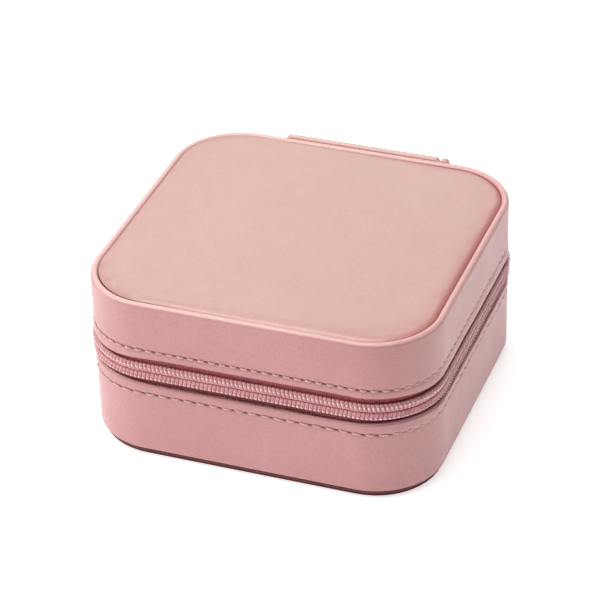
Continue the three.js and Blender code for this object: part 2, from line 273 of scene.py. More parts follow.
def profile_line(points, step):
    """Points along a polyline whose spans are split into pieces of about step."""
    line = []
    for (a0, a1), (b0, b1) in zip(points[:-1], points[1:]):
        count = max(1, round(math.hypot(b0 - a0, b1 - a1) / step))
        for k in range(count):
            t = k / count
            line.append((a0 + (b0 - a0) * t, a1 + (b1 - a1) * t))
    line.append(points[-1])
    return line


def arc_line(centre, radii, start, end, count):
    """Points on an ellipse arc in the (inset, height) plane, angles in degrees."""
    turn = [math.radians(start + (end - start) * k / count) for k in range(count + 1)]
    return [(centre[0] + radii[0] * math.cos(t), centre[1] + radii[1] * math.sin(t)) for t in turn]


def modifier(piece, kind, **settings):
    added = piece.modifiers.new(kind.title(), kind)
    for key, value in settings.items():
        setattr(added, key, value)
    return added


def apply_modifiers(piece):
    """Writes what the modifiers make into the mesh."""
    graph = bpy.context.evaluated_depsgraph_get()
    made = bpy.data.meshes.new_from_object(piece.evaluated_get(graph))
    piece.modifiers.clear()
    old = piece.data
    piece.data = made
    bpy.data.meshes.remove(old)
    return piece


def place(piece, body, slot, *nodes):
    """The piece rides on a body and stands for CAD nodes, which it hides. The slot argument is not used."""
    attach(piece, body)
    if nodes:
        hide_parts(*nodes)
    return piece


# ---- Materials: all procedural, in the case's own coordinates ----
class Paint:
    """A node tree with short ways to add nodes. Coordinates are the object's own, in millimetres."""

    def __init__(self, name):
        self.material = bpy.data.materials.new(name)
        self.material.use_nodes = True
        self.tree = self.material.node_tree
        self.shader = self.tree.nodes["Principled BSDF"]
        scale = self.tree.nodes.new("ShaderNodeVectorMath")
        scale.operation = "SCALE"
        scale.inputs["Scale"].default_value = 1 / MM
        where = self.tree.nodes.new("ShaderNodeTexCoord")
        self.link(where.outputs["Object"], scale.inputs[0])
        self.place = scale.outputs[0]

    def link(self, start, end):
        self.tree.links.new(start, end)

    def put(self, socket, value):
        if isinstance(value, bpy.types.NodeSocket):
            self.link(value, socket)
        else:
            socket.default_value = value

    def math(self, operation, a, b=0.5, c=0.5):
        node = self.tree.nodes.new("ShaderNodeMath")
        node.operation = operation
        for socket, value in zip(node.inputs, (a, b, c)):
            self.put(socket, value)
        return node.outputs[0]

    def stretched(self, x, y, z):
        node = self.tree.nodes.new("ShaderNodeVectorMath")
        node.operation = "MULTIPLY"
        self.link(self.place, node.inputs[0])
        node.inputs[1].default_value = (x, y, z)
        return node.outputs[0]

    def distance(self):
        """The distance from the middle of the case's underside."""
        node = self.tree.nodes.new("ShaderNodeVectorMath")
        node.operation = "LENGTH"
        self.link(self.place, node.inputs[0])
        return node.outputs["Value"]

    def noise(self, size, detail=3.0, rough=0.5, vector=None):
        node = self.tree.nodes.new("ShaderNodeTexNoise")
        self.link(vector or self.place, node.inputs["Vector"])
        node.inputs["Scale"].default_value = 1 / size
        node.inputs["Detail"].default_value = detail
        node.inputs["Roughness"].default_value = rough
        return node.outputs["Fac"]

    def warped(self, size, amount):
        """The coordinates pushed about by noise, so that cell patterns lose their straight edges."""
        noise = self.tree.nodes.new("ShaderNodeTexNoise")
        self.link(self.place, noise.inputs["Vector"])
        noise.inputs["Scale"].default_value = 1 / size
        noise.inputs["Detail"].default_value = 2.0
        add = self.tree.nodes.new("ShaderNodeVectorMath")
        add.operation = "MULTIPLY_ADD"
        self.link(noise.outputs["Color"], add.inputs[0])
        add.inputs[1].default_value = (amount, amount, amount)
        self.link(self.place, add.inputs[2])
        return add.outputs[0]

    def cells(self, size, feature="F1", vector=None):
        node = self.tree.nodes.new("ShaderNodeTexVoronoi")
        node.feature = feature
        self.link(vector or self.place, node.inputs["Vector"])
        node.inputs["Scale"].default_value = 1 / size
        return node.outputs["Distance"]

    def ramp(self, value, low, high, out_low=0.0, out_high=1.0):
        node = self.tree.nodes.new("ShaderNodeMapRange")
        node.interpolation_type = "SMOOTHSTEP"
        self.put(node.inputs["Value"], value)
        names = ("From Min", "From Max", "To Min", "To Max")
        for name, number in zip(names, (low, high, out_low, out_high)):
            node.inputs[name].default_value = number
        return node.outputs[0]

    def mix(self, factor, a, b):
        node = self.tree.nodes.new("ShaderNodeMix")
        node.data_type = "RGBA"
        self.put(node.inputs[0], factor)
        self.put(node.inputs[6], a)
        self.put(node.inputs[7], b)
        return node.outputs[2]

    def value(self, name):
        """A number that add_value() gave the mesh, and 0 where it gave none."""
        node = self.tree.nodes.new("ShaderNodeAttribute")
        node.attribute_name = name
        return node.outputs["Fac"]

    def edges(self):
        return self.tree.nodes.new("ShaderNodeNewGeometry").outputs["Pointiness"]

    def bump(self, height, depth):
        node = self.tree.nodes.new("ShaderNodeBump")
        node.inputs["Distance"].default_value = depth * MM
        node.inputs["Strength"].default_value = 1.0
        self.link(height, node.inputs["Height"])
        return node.outputs[0]

    def scaled(self, a, factor):
        return self.math("MULTIPLY", a, factor)

    def finish(self, color, roughness, normal=None, **constants):
        self.put(self.shader.inputs["Base Color"], color)
        self.put(self.shader.inputs["Roughness"], roughness)
        if normal is not None:
            self.link(normal, self.shader.inputs["Normal"])
        for name, number in constants.items():
            self.shader.inputs[name.replace("_", " ")].default_value = number
        return self.material


def rgb(code):
    """A linear colour from a web colour code."""
    parts = [int(code[i : i + 2], 16) / 255 for i in (0, 2, 4)]
    linear = [c / 12.92 if c <= 0.04045 else ((c + 0.055) / 1.055) ** 2.4 for c in parts]
    return (*linear, 1.0)


# Pale colours painted where a mesh's value asks: painted highlights, and painted light on faces in shade.
PAINTED_LIGHT_LEATHER = rgb("E2B9B2")
# A pink painted shade for the top panel's edge by the rim.
GROOVE_SHADE_TINT = rgb("C86A70")
# Painted shade in the groove between the rim and the top panel.
LEATHER_GROOVE_SHADE = rgb("7F2D34")
# Painted shade inside the stitch holes.
STITCH_HOLE_SHADE = rgb("572428")
# Painted shade on the zip tape.
TAPE_GROOVE_SHADE = rgb("5A2028")
PAINTED_LIGHT_NYLON = rgb("F0D2CB")
TWIST = (9.0, 6.28)  # how fast a thread's plies turn: radians per mm along it, and per turn round it


def leather(name, main, pale, deep, grain=0.42, depth=0.055, roughness=0.4, coat=0.25):
    """Pebbled leather: fine grain, faint mottling and paler worn edges, with painted light where a mesh asks
    for it, and painted shade in stitch holes, in grooves and as a pink tint by the rim.
    """
    p = Paint(name)
    bent = p.warped(grain * 1.6, grain * 1.1)
    pebbles = p.cells(grain, "SMOOTH_F1", bent)
    creases = p.cells(grain * 2.3, "DISTANCE_TO_EDGE", p.warped(grain * 3.0, grain * 2.6))
    fine = p.noise(grain * 0.5, 2.0)
    clouds = p.noise(30.0, 2.0)
    patches = p.noise(4.0, 3.0)
    color = p.mix(p.ramp(clouds, 0.3, 0.75, 0.0, 0.45), rgb(main), rgb(pale))
    color = p.mix(p.ramp(patches, 0.35, 0.75, 0.0, 0.1), color, rgb(deep))
    color = p.mix(p.ramp(pebbles, 0.25, 0.6, 0.0, 0.22), color, rgb(deep))
    color = p.mix(p.ramp(creases, 0.0, 0.1, 0.08, 0.0), color, rgb(deep))
    color = p.mix(p.ramp(p.edges(), 0.52, 0.62, 0.0, 0.3), color, rgb(pale))
    # Painted light: paler where the mesh asks, for highlights on the rim and lit edges.
    color = p.mix(p.value("painted_light"), color, PAINTED_LIGHT_LEATHER)
    # Painted shade: a pink tint where the mesh asks, by the rim.
    color = p.mix(p.value("groove_shade_tint"), color, GROOVE_SHADE_TINT)
    # Painted shade in the groove between the rim and the top panel.
    color = p.mix(p.value("groove"), color, LEATHER_GROOVE_SHADE)
    # Painted shade in the stitch holes.
    color = p.mix(p.value("hole"), color, STITCH_HOLE_SHADE)
    height = p.math("ADD", p.scaled(pebbles, -1.0), p.scaled(fine, 0.4))
    height = p.math("ADD", height, p.ramp(creases, 0.0, 0.12, -0.2, 0.0))
    rough = p.ramp(patches, 0.2, 0.8, roughness - 0.04, roughness + 0.05)
    rough = p.math("ADD", rough, p.scaled(fine, 0.06))
    gloss = {"Specular_IOR_Level": 0.5, "Coat_Weight": coat, "Coat_Roughness": 0.3}
    return p.finish(color, rough, p.bump(height, depth), **gloss)


def velvet(name, main, pale, deep):
    """Short pile: brushed patches, a fibre fuzz and strong sheen."""
    p = Paint(name)
    nap = p.noise(9.0, 3.0, 0.6)
    fibre = p.noise(0.22, 2.0, 0.7)
    streak = p.noise(1.6, 2.0, 0.5, p.stretched(1.0, 0.3, 1.6))
    color = p.mix(p.ramp(nap, 0.3, 0.7), rgb(main), rgb(pale))
    color = p.mix(p.ramp(streak, 0.35, 0.75, 0.0, 0.16), color, rgb(deep))
    color = p.mix(p.ramp(fibre, 0.35, 0.7, 0.3, 0.0), color, rgb(deep))
    rough = p.ramp(nap, 0.2, 0.8, 0.82, 0.95)
    normal = p.bump(p.math("ADD", fibre, p.scaled(streak, 0.5)), 0.16)
    return p.finish(color, rough, normal, Sheen_Weight=0.7, Sheen_Roughness=0.35, Specular_IOR_Level=0.2)


def woven(name, main, pale, deep, rib):
    """A woven tape with ribs across it. "arc" is the distance along the tape and "across" the one over it."""
    p = Paint(name)
    ribs = p.math("SINE", p.scaled(p.value("arc"), 2 * math.pi / rib))
    picks = p.math("SINE", p.scaled(p.value("across"), 2 * math.pi / (rib * 0.7)))
    weave = p.math("MULTIPLY", ribs, picks)
    fuzz = p.noise(0.3, 2.0)
    color = p.mix(p.ramp(ribs, -0.8, 0.9), rgb(deep), rgb(main))
    color = p.mix(p.ramp(weave, -0.2, 1.0, 0.0, 0.4), color, rgb(pale))
    color = p.mix(p.ramp(fuzz, 0.4, 0.75, 0.0, 0.35), color, rgb(pale))
    # Painted shade where the mesh asks, on the base's tape under its coil.
    color = p.mix(p.value("groove"), color, TAPE_GROOVE_SHADE)
    height = p.math("ADD", ribs, p.math("ADD", p.scaled(weave, 0.5), fuzz))
    return p.finish(color, p.ramp(fuzz, 0.2, 0.8, 0.75, 0.9), p.bump(height, 0.05), Sheen_Weight=0.35)


def nylon(name, main, pale, deep):
    """Drawn nylon wire: smooth, slightly uneven in tone, faint drawing lines."""
    p = Paint(name)
    tone = p.noise(3.0, 2.0)
    lines = p.noise(0.12, 2.0)
    color = p.mix(p.ramp(tone, 0.3, 0.7), rgb(main), rgb(pale))
    color = p.mix(p.ramp(lines, 0.5, 0.8, 0.0, 0.3), color, rgb(deep))
    # Painted highlight where the mesh asks for it.
    color = p.mix(p.value("painted_light"), color, PAINTED_LIGHT_NYLON)
    rough = p.ramp(tone, 0.2, 0.8, 0.3, 0.42)
    return p.finish(color, rough, p.bump(lines, 0.01), Coat_Weight=0.25, Coat_Roughness=0.3)


def thread(name, main, pale, deep):
    """Twisted thread. "arc" runs along the stitch and "across" round it."""
    p = Paint(name)
    ply = p.math("ADD", p.scaled(p.value("arc"), TWIST[0]), p.scaled(p.value("across"), TWIST[1]))
    twist = p.math("SINE", ply)
    fluff = p.noise(0.15, 2.0)
    color = p.mix(p.ramp(twist, -0.9, 0.6), rgb(deep), rgb(main))
    color = p.mix(p.ramp(fluff, 0.45, 0.75, 0.0, 0.6), color, rgb(pale))
    height = p.math("ADD", twist, p.scaled(fluff, 0.6))
    return p.finish(color, p.ramp(fluff, 0.2, 0.8, 0.5, 0.7), p.bump(height, 0.04), Sheen_Weight=0.3)


def metal(name, main, pale):
    """Rose-plated metal: hairline scratches, finger haze and brighter worn edges."""
    p = Paint(name)
    haze = p.noise(4.0, 3.0)
    scratch = p.noise(0.35, 2.0, 0.6, p.stretched(0.15, 1.0, 3.0))
    color = p.mix(p.ramp(p.edges(), 0.5, 0.6, 0.0, 0.8), rgb(main), rgb(pale))
    rough = p.math("ADD", p.ramp(haze, 0.3, 0.7, 0.16, 0.28), p.ramp(scratch, 0.55, 0.75, 0.0, 0.18))
    return p.finish(color, rough, p.bump(scratch, 0.006), Metallic=1.0)


def fibreboard(name, main, pale, deep):
    """Pressed board: long fibres and dark specks."""
    p = Paint(name)
    fibres = p.noise(1.1, 4.0, 0.65, p.stretched(1.0, 0.35, 2.2))
    specks = p.cells(0.9)
    color = p.mix(p.ramp(fibres, 0.3, 0.7), rgb(main), rgb(pale))
    color = p.mix(p.ramp(specks, 0.05, 0.25, 0.6, 0.0), color, rgb(deep))
    return p.finish(color, p.ramp(fibres, 0.2, 0.8, 0.8, 0.95), p.bump(fibres, 0.08))


def open_foam(name, main, deep):
    """Open-celled foam: dark pores in a pale skin."""
    p = Paint(name)
    pores = p.cells(0.8)
    skin = p.noise(6.0)
    color = p.mix(p.ramp(pores, 0.05, 0.4), rgb(deep), rgb(main))
    color = p.mix(p.ramp(skin, 0.4, 0.8, 0.0, 0.3), color, rgb(deep))
    return p.finish(color, p.ramp(skin, 0.2, 0.8, 0.88, 0.98), p.bump(pores, 0.2))


WALL = leather("wall_leather_paint", "C68B8C", "CE9A99", "A86A6E", depth=0.075, coat=0.3)
# The top panel's leather: the wall's leather painted paler and warmer, a painted highlight for the overhead
# light, with more gloss.
LIT_TOP_LEATHER = leather("top_leather_lit_paint", "C2988E", "C9A299", "AE8179", 0.4, depth=0.042, roughness=0.34, coat=0.45)
# The sole's dark maroon is painted shade under the case's foot.
SOLE_SHADED_LEATHER = leather("sole_shaded_leather_paint", "6B2E32", "7C3D40", "4A1C20", 0.8, depth=0.05, roughness=0.6, coat=0.0)
VELVET = velvet("velvet_paint", "C48A8C", "D6A09F", "9B5F63")
ELASTIC = woven("elastic_paint", "BE7F84", "D29A9D", "8F5157", 1.0)
TAPE = woven("zip_tape_paint", "C25C6B", "D2818C", "A03E4C", 0.5)
COIL = nylon("zip_coil_paint", "CB868E", "D4979C", "B36E78")
LEATHER_THREAD = thread("leather_thread_paint", "DFAFAC", "EDC9C4", "C99694")
COIL_THREAD = thread("coil_thread_paint", "FADEDB", "FFF1EE", "E6BEBD")
METAL = metal("rose_metal_paint", "E0AE9C", "F3CDBD")
BOARD = fibreboard("board_paint", "B09A7C", "C4B094", "84705A")
FOAM = open_foam("foam_paint", "EFE8DD", "CFC5B6")


# ---- The leather walls ----
STITCH_LOW = 21.3  # heights of the two rows of stitching
STITCH_HIGH = 35.5
HOLE_LENGTH = 1.3
HOLE_HEIGHT = 0.5
HOLE_DEPTH = 0.35
# How strongly the stitch holes are painted dark, as painted shade.
HOLE_SHADE_AMOUNT = 0.8
LOW_PITCH = PERIMETER / round(PERIMETER / 3.7)
HIGH_PITCH = PERIMETER / round(PERIMETER / 3.05)
SEAM_DENT = 0.16
SEAM_REACH = 0.55
LIP_BULGE = 0.14
STATIONS = np.linspace(0, PERIMETER, 1224, endpoint=False)
BEAD = 1.08  # the rim's radius
BEAD_LIT_BAND = 0.75  # how far below its top the rim's bead gets a painted highlight
OUTER_SKIN = 0.3  # the part of a profile with less inset than this is its outer face
LEATHER = 0.8
TURNED_IN = 1.02  # the inset of the leather's edge where it is turned over the lip
HEM = 6.0  # how far the leather goes in under the base


def low_lip_rise(s):
    """How far the base's lip bows up towards the zip at each place."""
    corners = 1.15 * bump(s, LEFT_FRONT, 24) + 1.0 * bump(s, RIGHT_FRONT, 24)
    return corners + 0.7 * bump(s, RIGHT_BACK, 26) + 0.7 * bump(s, LEFT_BACK, 26)


def high_lip_drop(s):
    """How far the lid's lip bows down towards the zip at each place."""
    corners = 1.2 * bump(s, LEFT_FRONT, 25) + 0.1 * bump(s, RIGHT_FRONT, 24)
    middle = (RIGHT_BACK + RIGHT_FRONT) / 2
    right_side = smooth((RIGHT_FRONT - middle + 4.0 - np.abs(s - middle)) / 18.0)
    return corners + 0.95 * right_side + 0.3 * bump(s, RIGHT_BACK, 26) + 0.6 * bump(s, LEFT_BACK, 26)


def tight_holes(s):
    """How open the stitch holes are: the thread fills them on the right side."""
    normals = outline(s)[1]
    return 1 - smooth(normals[:, 0] * 1.5 - 0.3)


def hole_mask(s, z, height, pitch):
    """1 inside a stitch hole, fading to 0 at its edge."""
    off = np.mod(s, pitch) - pitch / 2
    slant = 0.12 * off
    reach = np.hypot(off[:, None] / (HOLE_LENGTH / 2), (z - height - slant[:, None]) / (HOLE_HEIGHT / 2))
    return np.clip(1.5 - reach, 0, 1)


def seam_shape(z, height, lip, towards):
    """Insets of the outer face near a row of stitching: dented at the row and swelling towards the lip."""
    dent = SEAM_DENT * np.exp(-(((z - height) / SEAM_REACH) ** 2))
    swell = np.clip((z - height) * towards / max(abs(lip - height), 1e-6), 0, 1)
    return dent - LIP_BULGE * np.sin(math.pi * swell)


def wall_band(name, profile, stitch, pitch, lip, shift, body, node):
    """A leather wall: its profile swept round, with the lip bowed by shift and stitch holes pressed in."""
    s = STATIONS
    base_inset, base_z = np.array(profile).T
    towards = 1 if lip > stitch else -1
    weight = np.clip((base_z - stitch) * towards / abs(lip - stitch), 0, 1) ** 1.3
    z = base_z + shift[:, None] * weight
    outer = base_inset < OUTER_SKIN
    inset = base_inset + np.where(outer, seam_shape(base_z, stitch, lip, towards), 0.0)
    inset = np.broadcast_to(inset, z.shape).copy()
    turn = s / PERIMETER * 2 * math.pi
    uneven = 0.05 * np.sin(turn * 7 + 1.3) + 0.03 * np.sin(turn * 19)
    inset += uneven[:, None] * np.where(outer, 1, 0) * np.where(weight > 0, 1, 0.25)
    holes = hole_mask(s, z, stitch, pitch) * outer * tight_holes(s)[:, None]
    inset += HOLE_DEPTH * holes
    band = sweep(name, s, inset, z, WALL)
    # Painted shade in the stitch holes, fading out on the right side with the holes themselves.
    add_value(band, "hole", holes * HOLE_SHADE_AMOUNT)
    there = ring_points(s, inset, z)
    tight = tightness(there[..., 0], there[..., 1])
    # Painted shade in the groove at the foot of the rim's bead, weaker at the left and back where the panel
    # fits closely.
    groove = (base_inset > 1.6) * smooth((LID_TOP - 0.5 - base_z) / 0.4) * (base_z > LID_TOP - 5.1)
    add_value(band, "groove", groove * (1 - 0.85 * tight))
    # Painted highlight along the rim's bead, stronger at the left and back.
    bead = (base_z > LID_TOP - BEAD_LIT_BAND) * smooth((base_z - LID_TOP + BEAD_LIT_BAND) / 0.6)
    add_value(band, "painted_light", (0.6 + 0.3 * tight) * bead)
    place(band, body, "wall_leather", node)


def base_profile():
    """The base's wall, from its foot up the outside, over the lip, down the inside and in under the base."""
    floor = BASE_BOTTOM + LEATHER
    outer = profile_line([(0.0, BASE_BOTTOM + 0.75), (0.0, 19.4)], 1.4)
    row = profile_line([(0.0, 19.5), (0.0, 22.6)], 0.155)
    up = profile_line([(0.0, 22.75), (0.0, BASE_TOP - 0.45)], 0.25)
    lip = arc_line((0.5, BASE_TOP - 0.45), (0.5, 0.45), 180, 0, 7)
    inside = [(TURNED_IN, 23.2), (TURNED_IN, 20.4), (0.98, 20.1), (0.82, 19.9)]
    inside += [(LEATHER, 14.0), (LEATHER, floor + 0.4)]
    cove = [(0.95, floor + 0.08), (1.6, floor), (HEM, floor)]
    under = [(HEM, BASE_BOTTOM + 0.05), (3.0, BASE_BOTTOM)]
    foot = arc_line((0.75, BASE_BOTTOM + 0.75), (0.75, 0.75), 270, 188, 5)
    return outer + row + up + lip + inside + cove + under + foot


def lid_profile():
    """The lid's wall, from its lip up the outside, over the rim's bead and down the inside."""
    crown = LID_TOP - BEAD
    lip = arc_line((0.5, LID_BOTTOM + 0.45), (0.5, 0.45), 0, -180, 7)
    up = profile_line([(0.0, LID_BOTTOM + 0.6), (0.0, 34.2)], 0.25)
    row = profile_line([(0.0, 34.35), (0.0, 36.8)], 0.155)
    wall = profile_line([(0.0, 37.2), (0.0, crown - 0.3)], 1.4)
    rim = arc_line((BEAD, crown), (BEAD, BEAD), 180, 0, 16)
    groove = [(2 * BEAD, LID_TOP - 1.5), (2 * BEAD - 0.1, RIM_FOOT), (0.85, RIM_FOOT - 0.02)]
    inside = [(LEATHER, 46.0), (LEATHER, 37.4), (0.85, 37.1)]
    inside += [(TURNED_IN, 36.9), (TURNED_IN, LID_BOTTOM + 0.9)]
    return lip + up + row + wall + rim + groove + inside


LOW_ROW = (STITCH_LOW, LOW_PITCH, BASE_TOP, low_lip_rise(STATIONS))
HIGH_ROW = (STITCH_HIGH, HIGH_PITCH, LID_BOTTOM, -high_lip_drop(STATIONS))
wall_band("base_wall", base_profile(), *LOW_ROW, "base", "base_leather_band")
wall_band("lid_wall", lid_profile(), *HIGH_ROW, "lid", "lid_leather_band")


# ---- Stitches: short twisted threads, each a rounded rod bent a little outwards ----
def frames_on_outline(s, inset, z):
    """At each place: the point, the direction along the outline, and the outward normal."""
    places, normals = outline(s)
    at = np.concatenate([places - normals * np.reshape(inset, (-1, 1)), np.reshape(z, (-1, 1))], axis=1)
    out = np.concatenate([normals, np.zeros((len(places), 1))], axis=1)
    along = np.stack([normals[:, 1], -normals[:, 0], np.zeros(len(places))], axis=1)
    return at, along, out


def stitch_row(
    name, at, along, out, length, radius, slant, rise, material, sides=8, spans=8, flat=1.0, up=None
):
    """One mesh of rounded rods: each runs along its own direction, turned by slant degrees in the surface."""
    points, faces, arc, across = [], [], [], []
    tilt = math.radians(slant)
    if up is None:
        up = np.tile([0.0, 0.0, 1.0], (len(at), 1))
    rod = tube_faces(spans + 1, sides)
    for at_i, along_i, out_i, up_i in zip(at, along, out, up):
        run = along_i * math.cos(tilt) + up_i * math.sin(tilt)
        side = up_i * math.cos(tilt) - along_i * math.sin(tilt)
        faces += [tuple(len(points) + k for k in face) for face in rod]
        for span in range(spans + 1):
            t = 2 * span / spans - 1
            thick = radius * (1 - abs(t) ** 4) ** 0.5 + radius * 0.05
            centre = at_i + run * (t * length / 2) + out_i * rise * (1 - 1.6 * t * t)
            for turn in turns(sides):
                points.append(centre + side * thick * math.cos(turn) + out_i * thick * flat * math.sin(turn))
                arc.append(t * length / 2)
                across.append(turn / (2 * math.pi))
    row = solid(name, points, faces, material)
    add_value(row, "arc", arc)
    add_value(row, "across", across)
    return row


def wall_stitches(name, height, pitch, body):
    """The stitches of a wall's row, sunk into its surface and least so where the thread fills the holes."""
    count = round(PERIMETER / pitch)
    s = np.arange(count) * pitch
    sunk = 0.28 - 0.18 * tight_holes(s)
    at, along, out = frames_on_outline(s, sunk, np.full(count, height))
    length = pitch - HOLE_LENGTH * 0.8
    row = stitch_row(name, at, along, out, length, 0.3, 4.0, 0.22, LEATHER_THREAD, flat=0.7)
    place(row, body, "wall_leather")


def frayed_edge(name, x0, x1, count):
    """Short loose fibres along the inner edge of the base's lip, at the front. Each is a thin bent spike."""
    rng = np.random.default_rng(7)
    x = rng.uniform(x0, x1, count)
    x = x[rng.uniform(0, 1, count) < np.minimum(x - x0, x1 - x) / 9.0]
    s = along_of("front", x)
    inset = rng.uniform(0.12, 0.85, len(x))
    z = BASE_TOP - 0.5 + 0.45 * np.sqrt(1 - ((inset - 0.5) / 0.5) ** 2) + low_lip_rise(s)
    root, along, out = frames_on_outline(s, inset, z)
    lean = rng.uniform(-1, 1, (2, len(x), 1))
    way = out * (0.5 + 0.5 * lean[0]) + along * (0.7 * lean[1]) + np.array([0, 0, 1.0])
    way /= np.linalg.norm(way, axis=1, keepdims=True)
    length = rng.uniform(0.2, 0.65, (len(x), 1))
    curl = rng.uniform(-0.5, 0.5, (len(x), 3))
    a = np.cross(way, along)
    a /= np.linalg.norm(a, axis=1, keepdims=True)
    b = np.cross(way, a)
    thick, sides = 0.055, 3
    rings = []
    for t in (0.0, 0.55, 1.0):
        centre = root + (way * t + curl * t * t) * length
        rings += [centre + (a * math.cos(k) + b * math.sin(k)) * thick * (1 - 0.7 * t) for k in turns(sides)]
    points = np.stack(rings, axis=1).reshape(-1, 3)
    spike = tube_faces(3, sides)
    faces = [tuple(first + k for k in face) for first in range(0, len(points), 3 * sides) for face in spike]
    fibres = solid(name, points, faces, WALL)
    # Painted light, so that the fibres look pale where they sit in shade.
    add_value(fibres, "painted_light", np.full(len(points), 0.8))
    place(fibres, "base", "wall_leather")


frayed_edge("base_lip_fibres", -30.0, 21.0, 1500)
wall_stitches("base_wall_stitches", STITCH_LOW, LOW_PITCH, "base")
wall_stitches("lid_wall_stitches", STITCH_HIGH, HIGH_PITCH, "lid")


# ---- The zip ----
CHAIN_START = along_of("back", 24.0)
CHAIN_END = along_of("left", 27.0)
TAPE_END = along_of("back", -20.0) + PERIMETER
TAPE_OUT, TAPE_IN = 1.1, 1.6
TAPE_POINTS = (14, 5)  # points over the tape's outer face and its inner face
RIB = 0.5
RIDGE = 0.06
COIL_PITCH = 1.2
WINDINGS = int((CHAIN_END - CHAIN_START) / COIL_PITCH) - 1
WIRE = 0.27  # half the flattened wire's thickness, and half its width
WIRE_WIDE = 0.55
PARTING = 0.18  # from the zip's middle to each coil's windings where the slider runs
CLOSED_PARTING = 0.01  # and elsewhere
COIL_SPAN = 1.95


def zip_tape(name, z0, z1, body, node):
    """A ribbed woven tape. Its ribs are real ridges, each three stations long."""
    count = round((TAPE_END - CHAIN_START) / RIB * 3)
    s = np.linspace(CHAIN_START, TAPE_END, count + 1)
    ridge = RIDGE * (0.5 + 0.5 * np.cos((s - CHAIN_START) / RIB * 2 * math.pi))
    up, down = TAPE_POINTS
    heights = np.concatenate([np.linspace(z0, z1, up), np.linspace(z1, z0, down)])
    outer = np.arange(up + down) < up
    round_off = np.where((heights == z0) | (heights == z1), 0.12, 0.0)
    inset = np.where(outer, TAPE_OUT + RIDGE + round_off - ridge[:, None], TAPE_IN - round_off)
    tape = sweep(name, s, inset, np.broadcast_to(heights, inset.shape), TAPE, whole=False)
    add_value(tape, "arc", np.repeat(s, len(heights)))
    add_value(tape, "across", np.tile(heights, len(s)))
    # Painted shade on the base's tape below its coil, down by the base's lip.
    shaded = 0.4 * smooth((ZIP_MIDDLE - 1.9 - heights) / 0.8)
    add_value(tape, "groove", np.tile(shaded, len(s)))
    place(tape, body, "zip_tape", node)


def winding_places(count, side):
    """Places along the outline of counts of windings. The lid's coil is half a pitch ahead."""
    return CHAIN_START + 0.5 + count * COIL_PITCH + (COIL_PITCH / 2 if side > 0 else 0)


def zip_coil(name, side, body, node):
    """A nylon wire wound along the tape's edge. side is -1 below the zip's middle and 1 above it."""
    steps, sides = 14, 8
    winding = np.arange(WINDINGS * steps + 1) / steps
    phase = winding * 2 * math.pi
    s = winding_places(winding, side)
    slider_side = smooth((s - LEFT_FRONT + 8.0) / 8.0)
    parting = CLOSED_PARTING + (PARTING - CLOSED_PARTING) * slider_side
    half = COIL_SPAN / 2
    z = ZIP_MIDDLE + side * (parting + WIRE + half) - side * half * np.cos(phase)
    swing = np.sin(phase)
    inset = 0.38 - 0.36 * np.sign(swing) * np.abs(swing) ** 0.45
    path, along, _ = frames_on_outline(s, inset, z)
    tangent = np.gradient(path, axis=0)
    tangent /= np.linalg.norm(tangent, axis=1, keepdims=True)
    b = np.cross(tangent, along)
    b /= np.linalg.norm(b, axis=1, keepdims=True)
    n = np.cross(b, tangent)
    head = np.clip(np.cos(phase) * 1.6 - 0.6, 0, 1)[:, None]
    wide = WIRE_WIDE * (1 + 0.12 * head)
    points = np.zeros((len(path), sides, 3))
    for j, turn in enumerate(turns(sides)):
        flat = 1 / max(abs(math.cos(turn)), abs(math.sin(turn))) ** 0.55
        points[:, j] = path + b * (math.cos(turn) * WIRE * flat) + n * (math.sin(turn) * wide * flat)
    coil = solid(name, points.reshape(-1, 3), tube_faces(len(path), sides), COIL)
    # Painted highlight on the outer ends of the lid coil's windings.
    lit_outer_end = smooth((side * (z - ZIP_MIDDLE) - 1.75) / 0.25) * (side > 0)
    add_value(coil, "painted_light", np.repeat(0.12 * lit_outer_end, sides))
    place(coil, body, "zip_coil", node)


def coil_stitches(name, side, slant, length, thick, body):
    """The row of thread that sews a coil to its tape, one stitch over each winding."""
    s = winding_places(np.arange(WINDINGS) + 0.25, side)
    z = np.full(WINDINGS, ZIP_MIDDLE + side * 1.66)
    at, along, out = frames_on_outline(s, np.full(WINDINGS, -0.4), z)
    row = stitch_row(name, at, along, out, length, thick, slant, 0.06, COIL_THREAD, sides=7, spans=6)
    place(row, body, "zip_tape")


zip_tape("base_zip_tape", 19.6, ZIP_MIDDLE - 0.25, "base", "lower_zip_tape")
zip_tape("lid_zip_tape", ZIP_MIDDLE + 0.25, 37.6, "lid", "upper_zip_tape")
zip_coil("base_coil_windings", -1, "base", "lower_zip_coil")
zip_coil("lid_coil_windings", 1, "lid", "upper_zip_coil")
coil_stitches("base_coil_stitches", -1, 14.0, 0.7, 0.21, "base")
coil_stitches("lid_coil_stitches", 1, 24.0, 0.72, 0.27, "lid")


# ---- Soft pieces ----
def rounded_plan(u, v, inset):
    """Maps u and v, from -1 to 1, onto the outline moved in by inset, with its round corners."""
    half_x, half_y = WIDTH / 2 - inset, DEPTH / 2 - inset
    return round_corners(u * half_x, v * half_y, half_x, half_y, CORNER - inset)


def graded(half, fine, coarse, edge):
    """Positions from -1 to 1, spaced finely within edge of both ends. Lengths in millimetres."""
    near = list(np.arange(0, edge, fine))
    count = max(2, round((half - edge) / coarse))
    far = list(edge + (half - edge) * np.arange(count + 1) / count)
    steps = np.array(near + far)
    left = -1 + steps / half
    return np.concatenate([left, -left[-2::-1]])


def edge_distance(x, y, inset):
    """The distance in from the outline moved in by inset."""
    r = CORNER - inset
    a = np.abs(x) - (WIDTH / 2 - inset - r)
    b = np.abs(y) - (DEPTH / 2 - inset - r)
    return r - (np.hypot(np.maximum(a, 0), np.maximum(b, 0)) + np.minimum(np.maximum(a, b), 0))


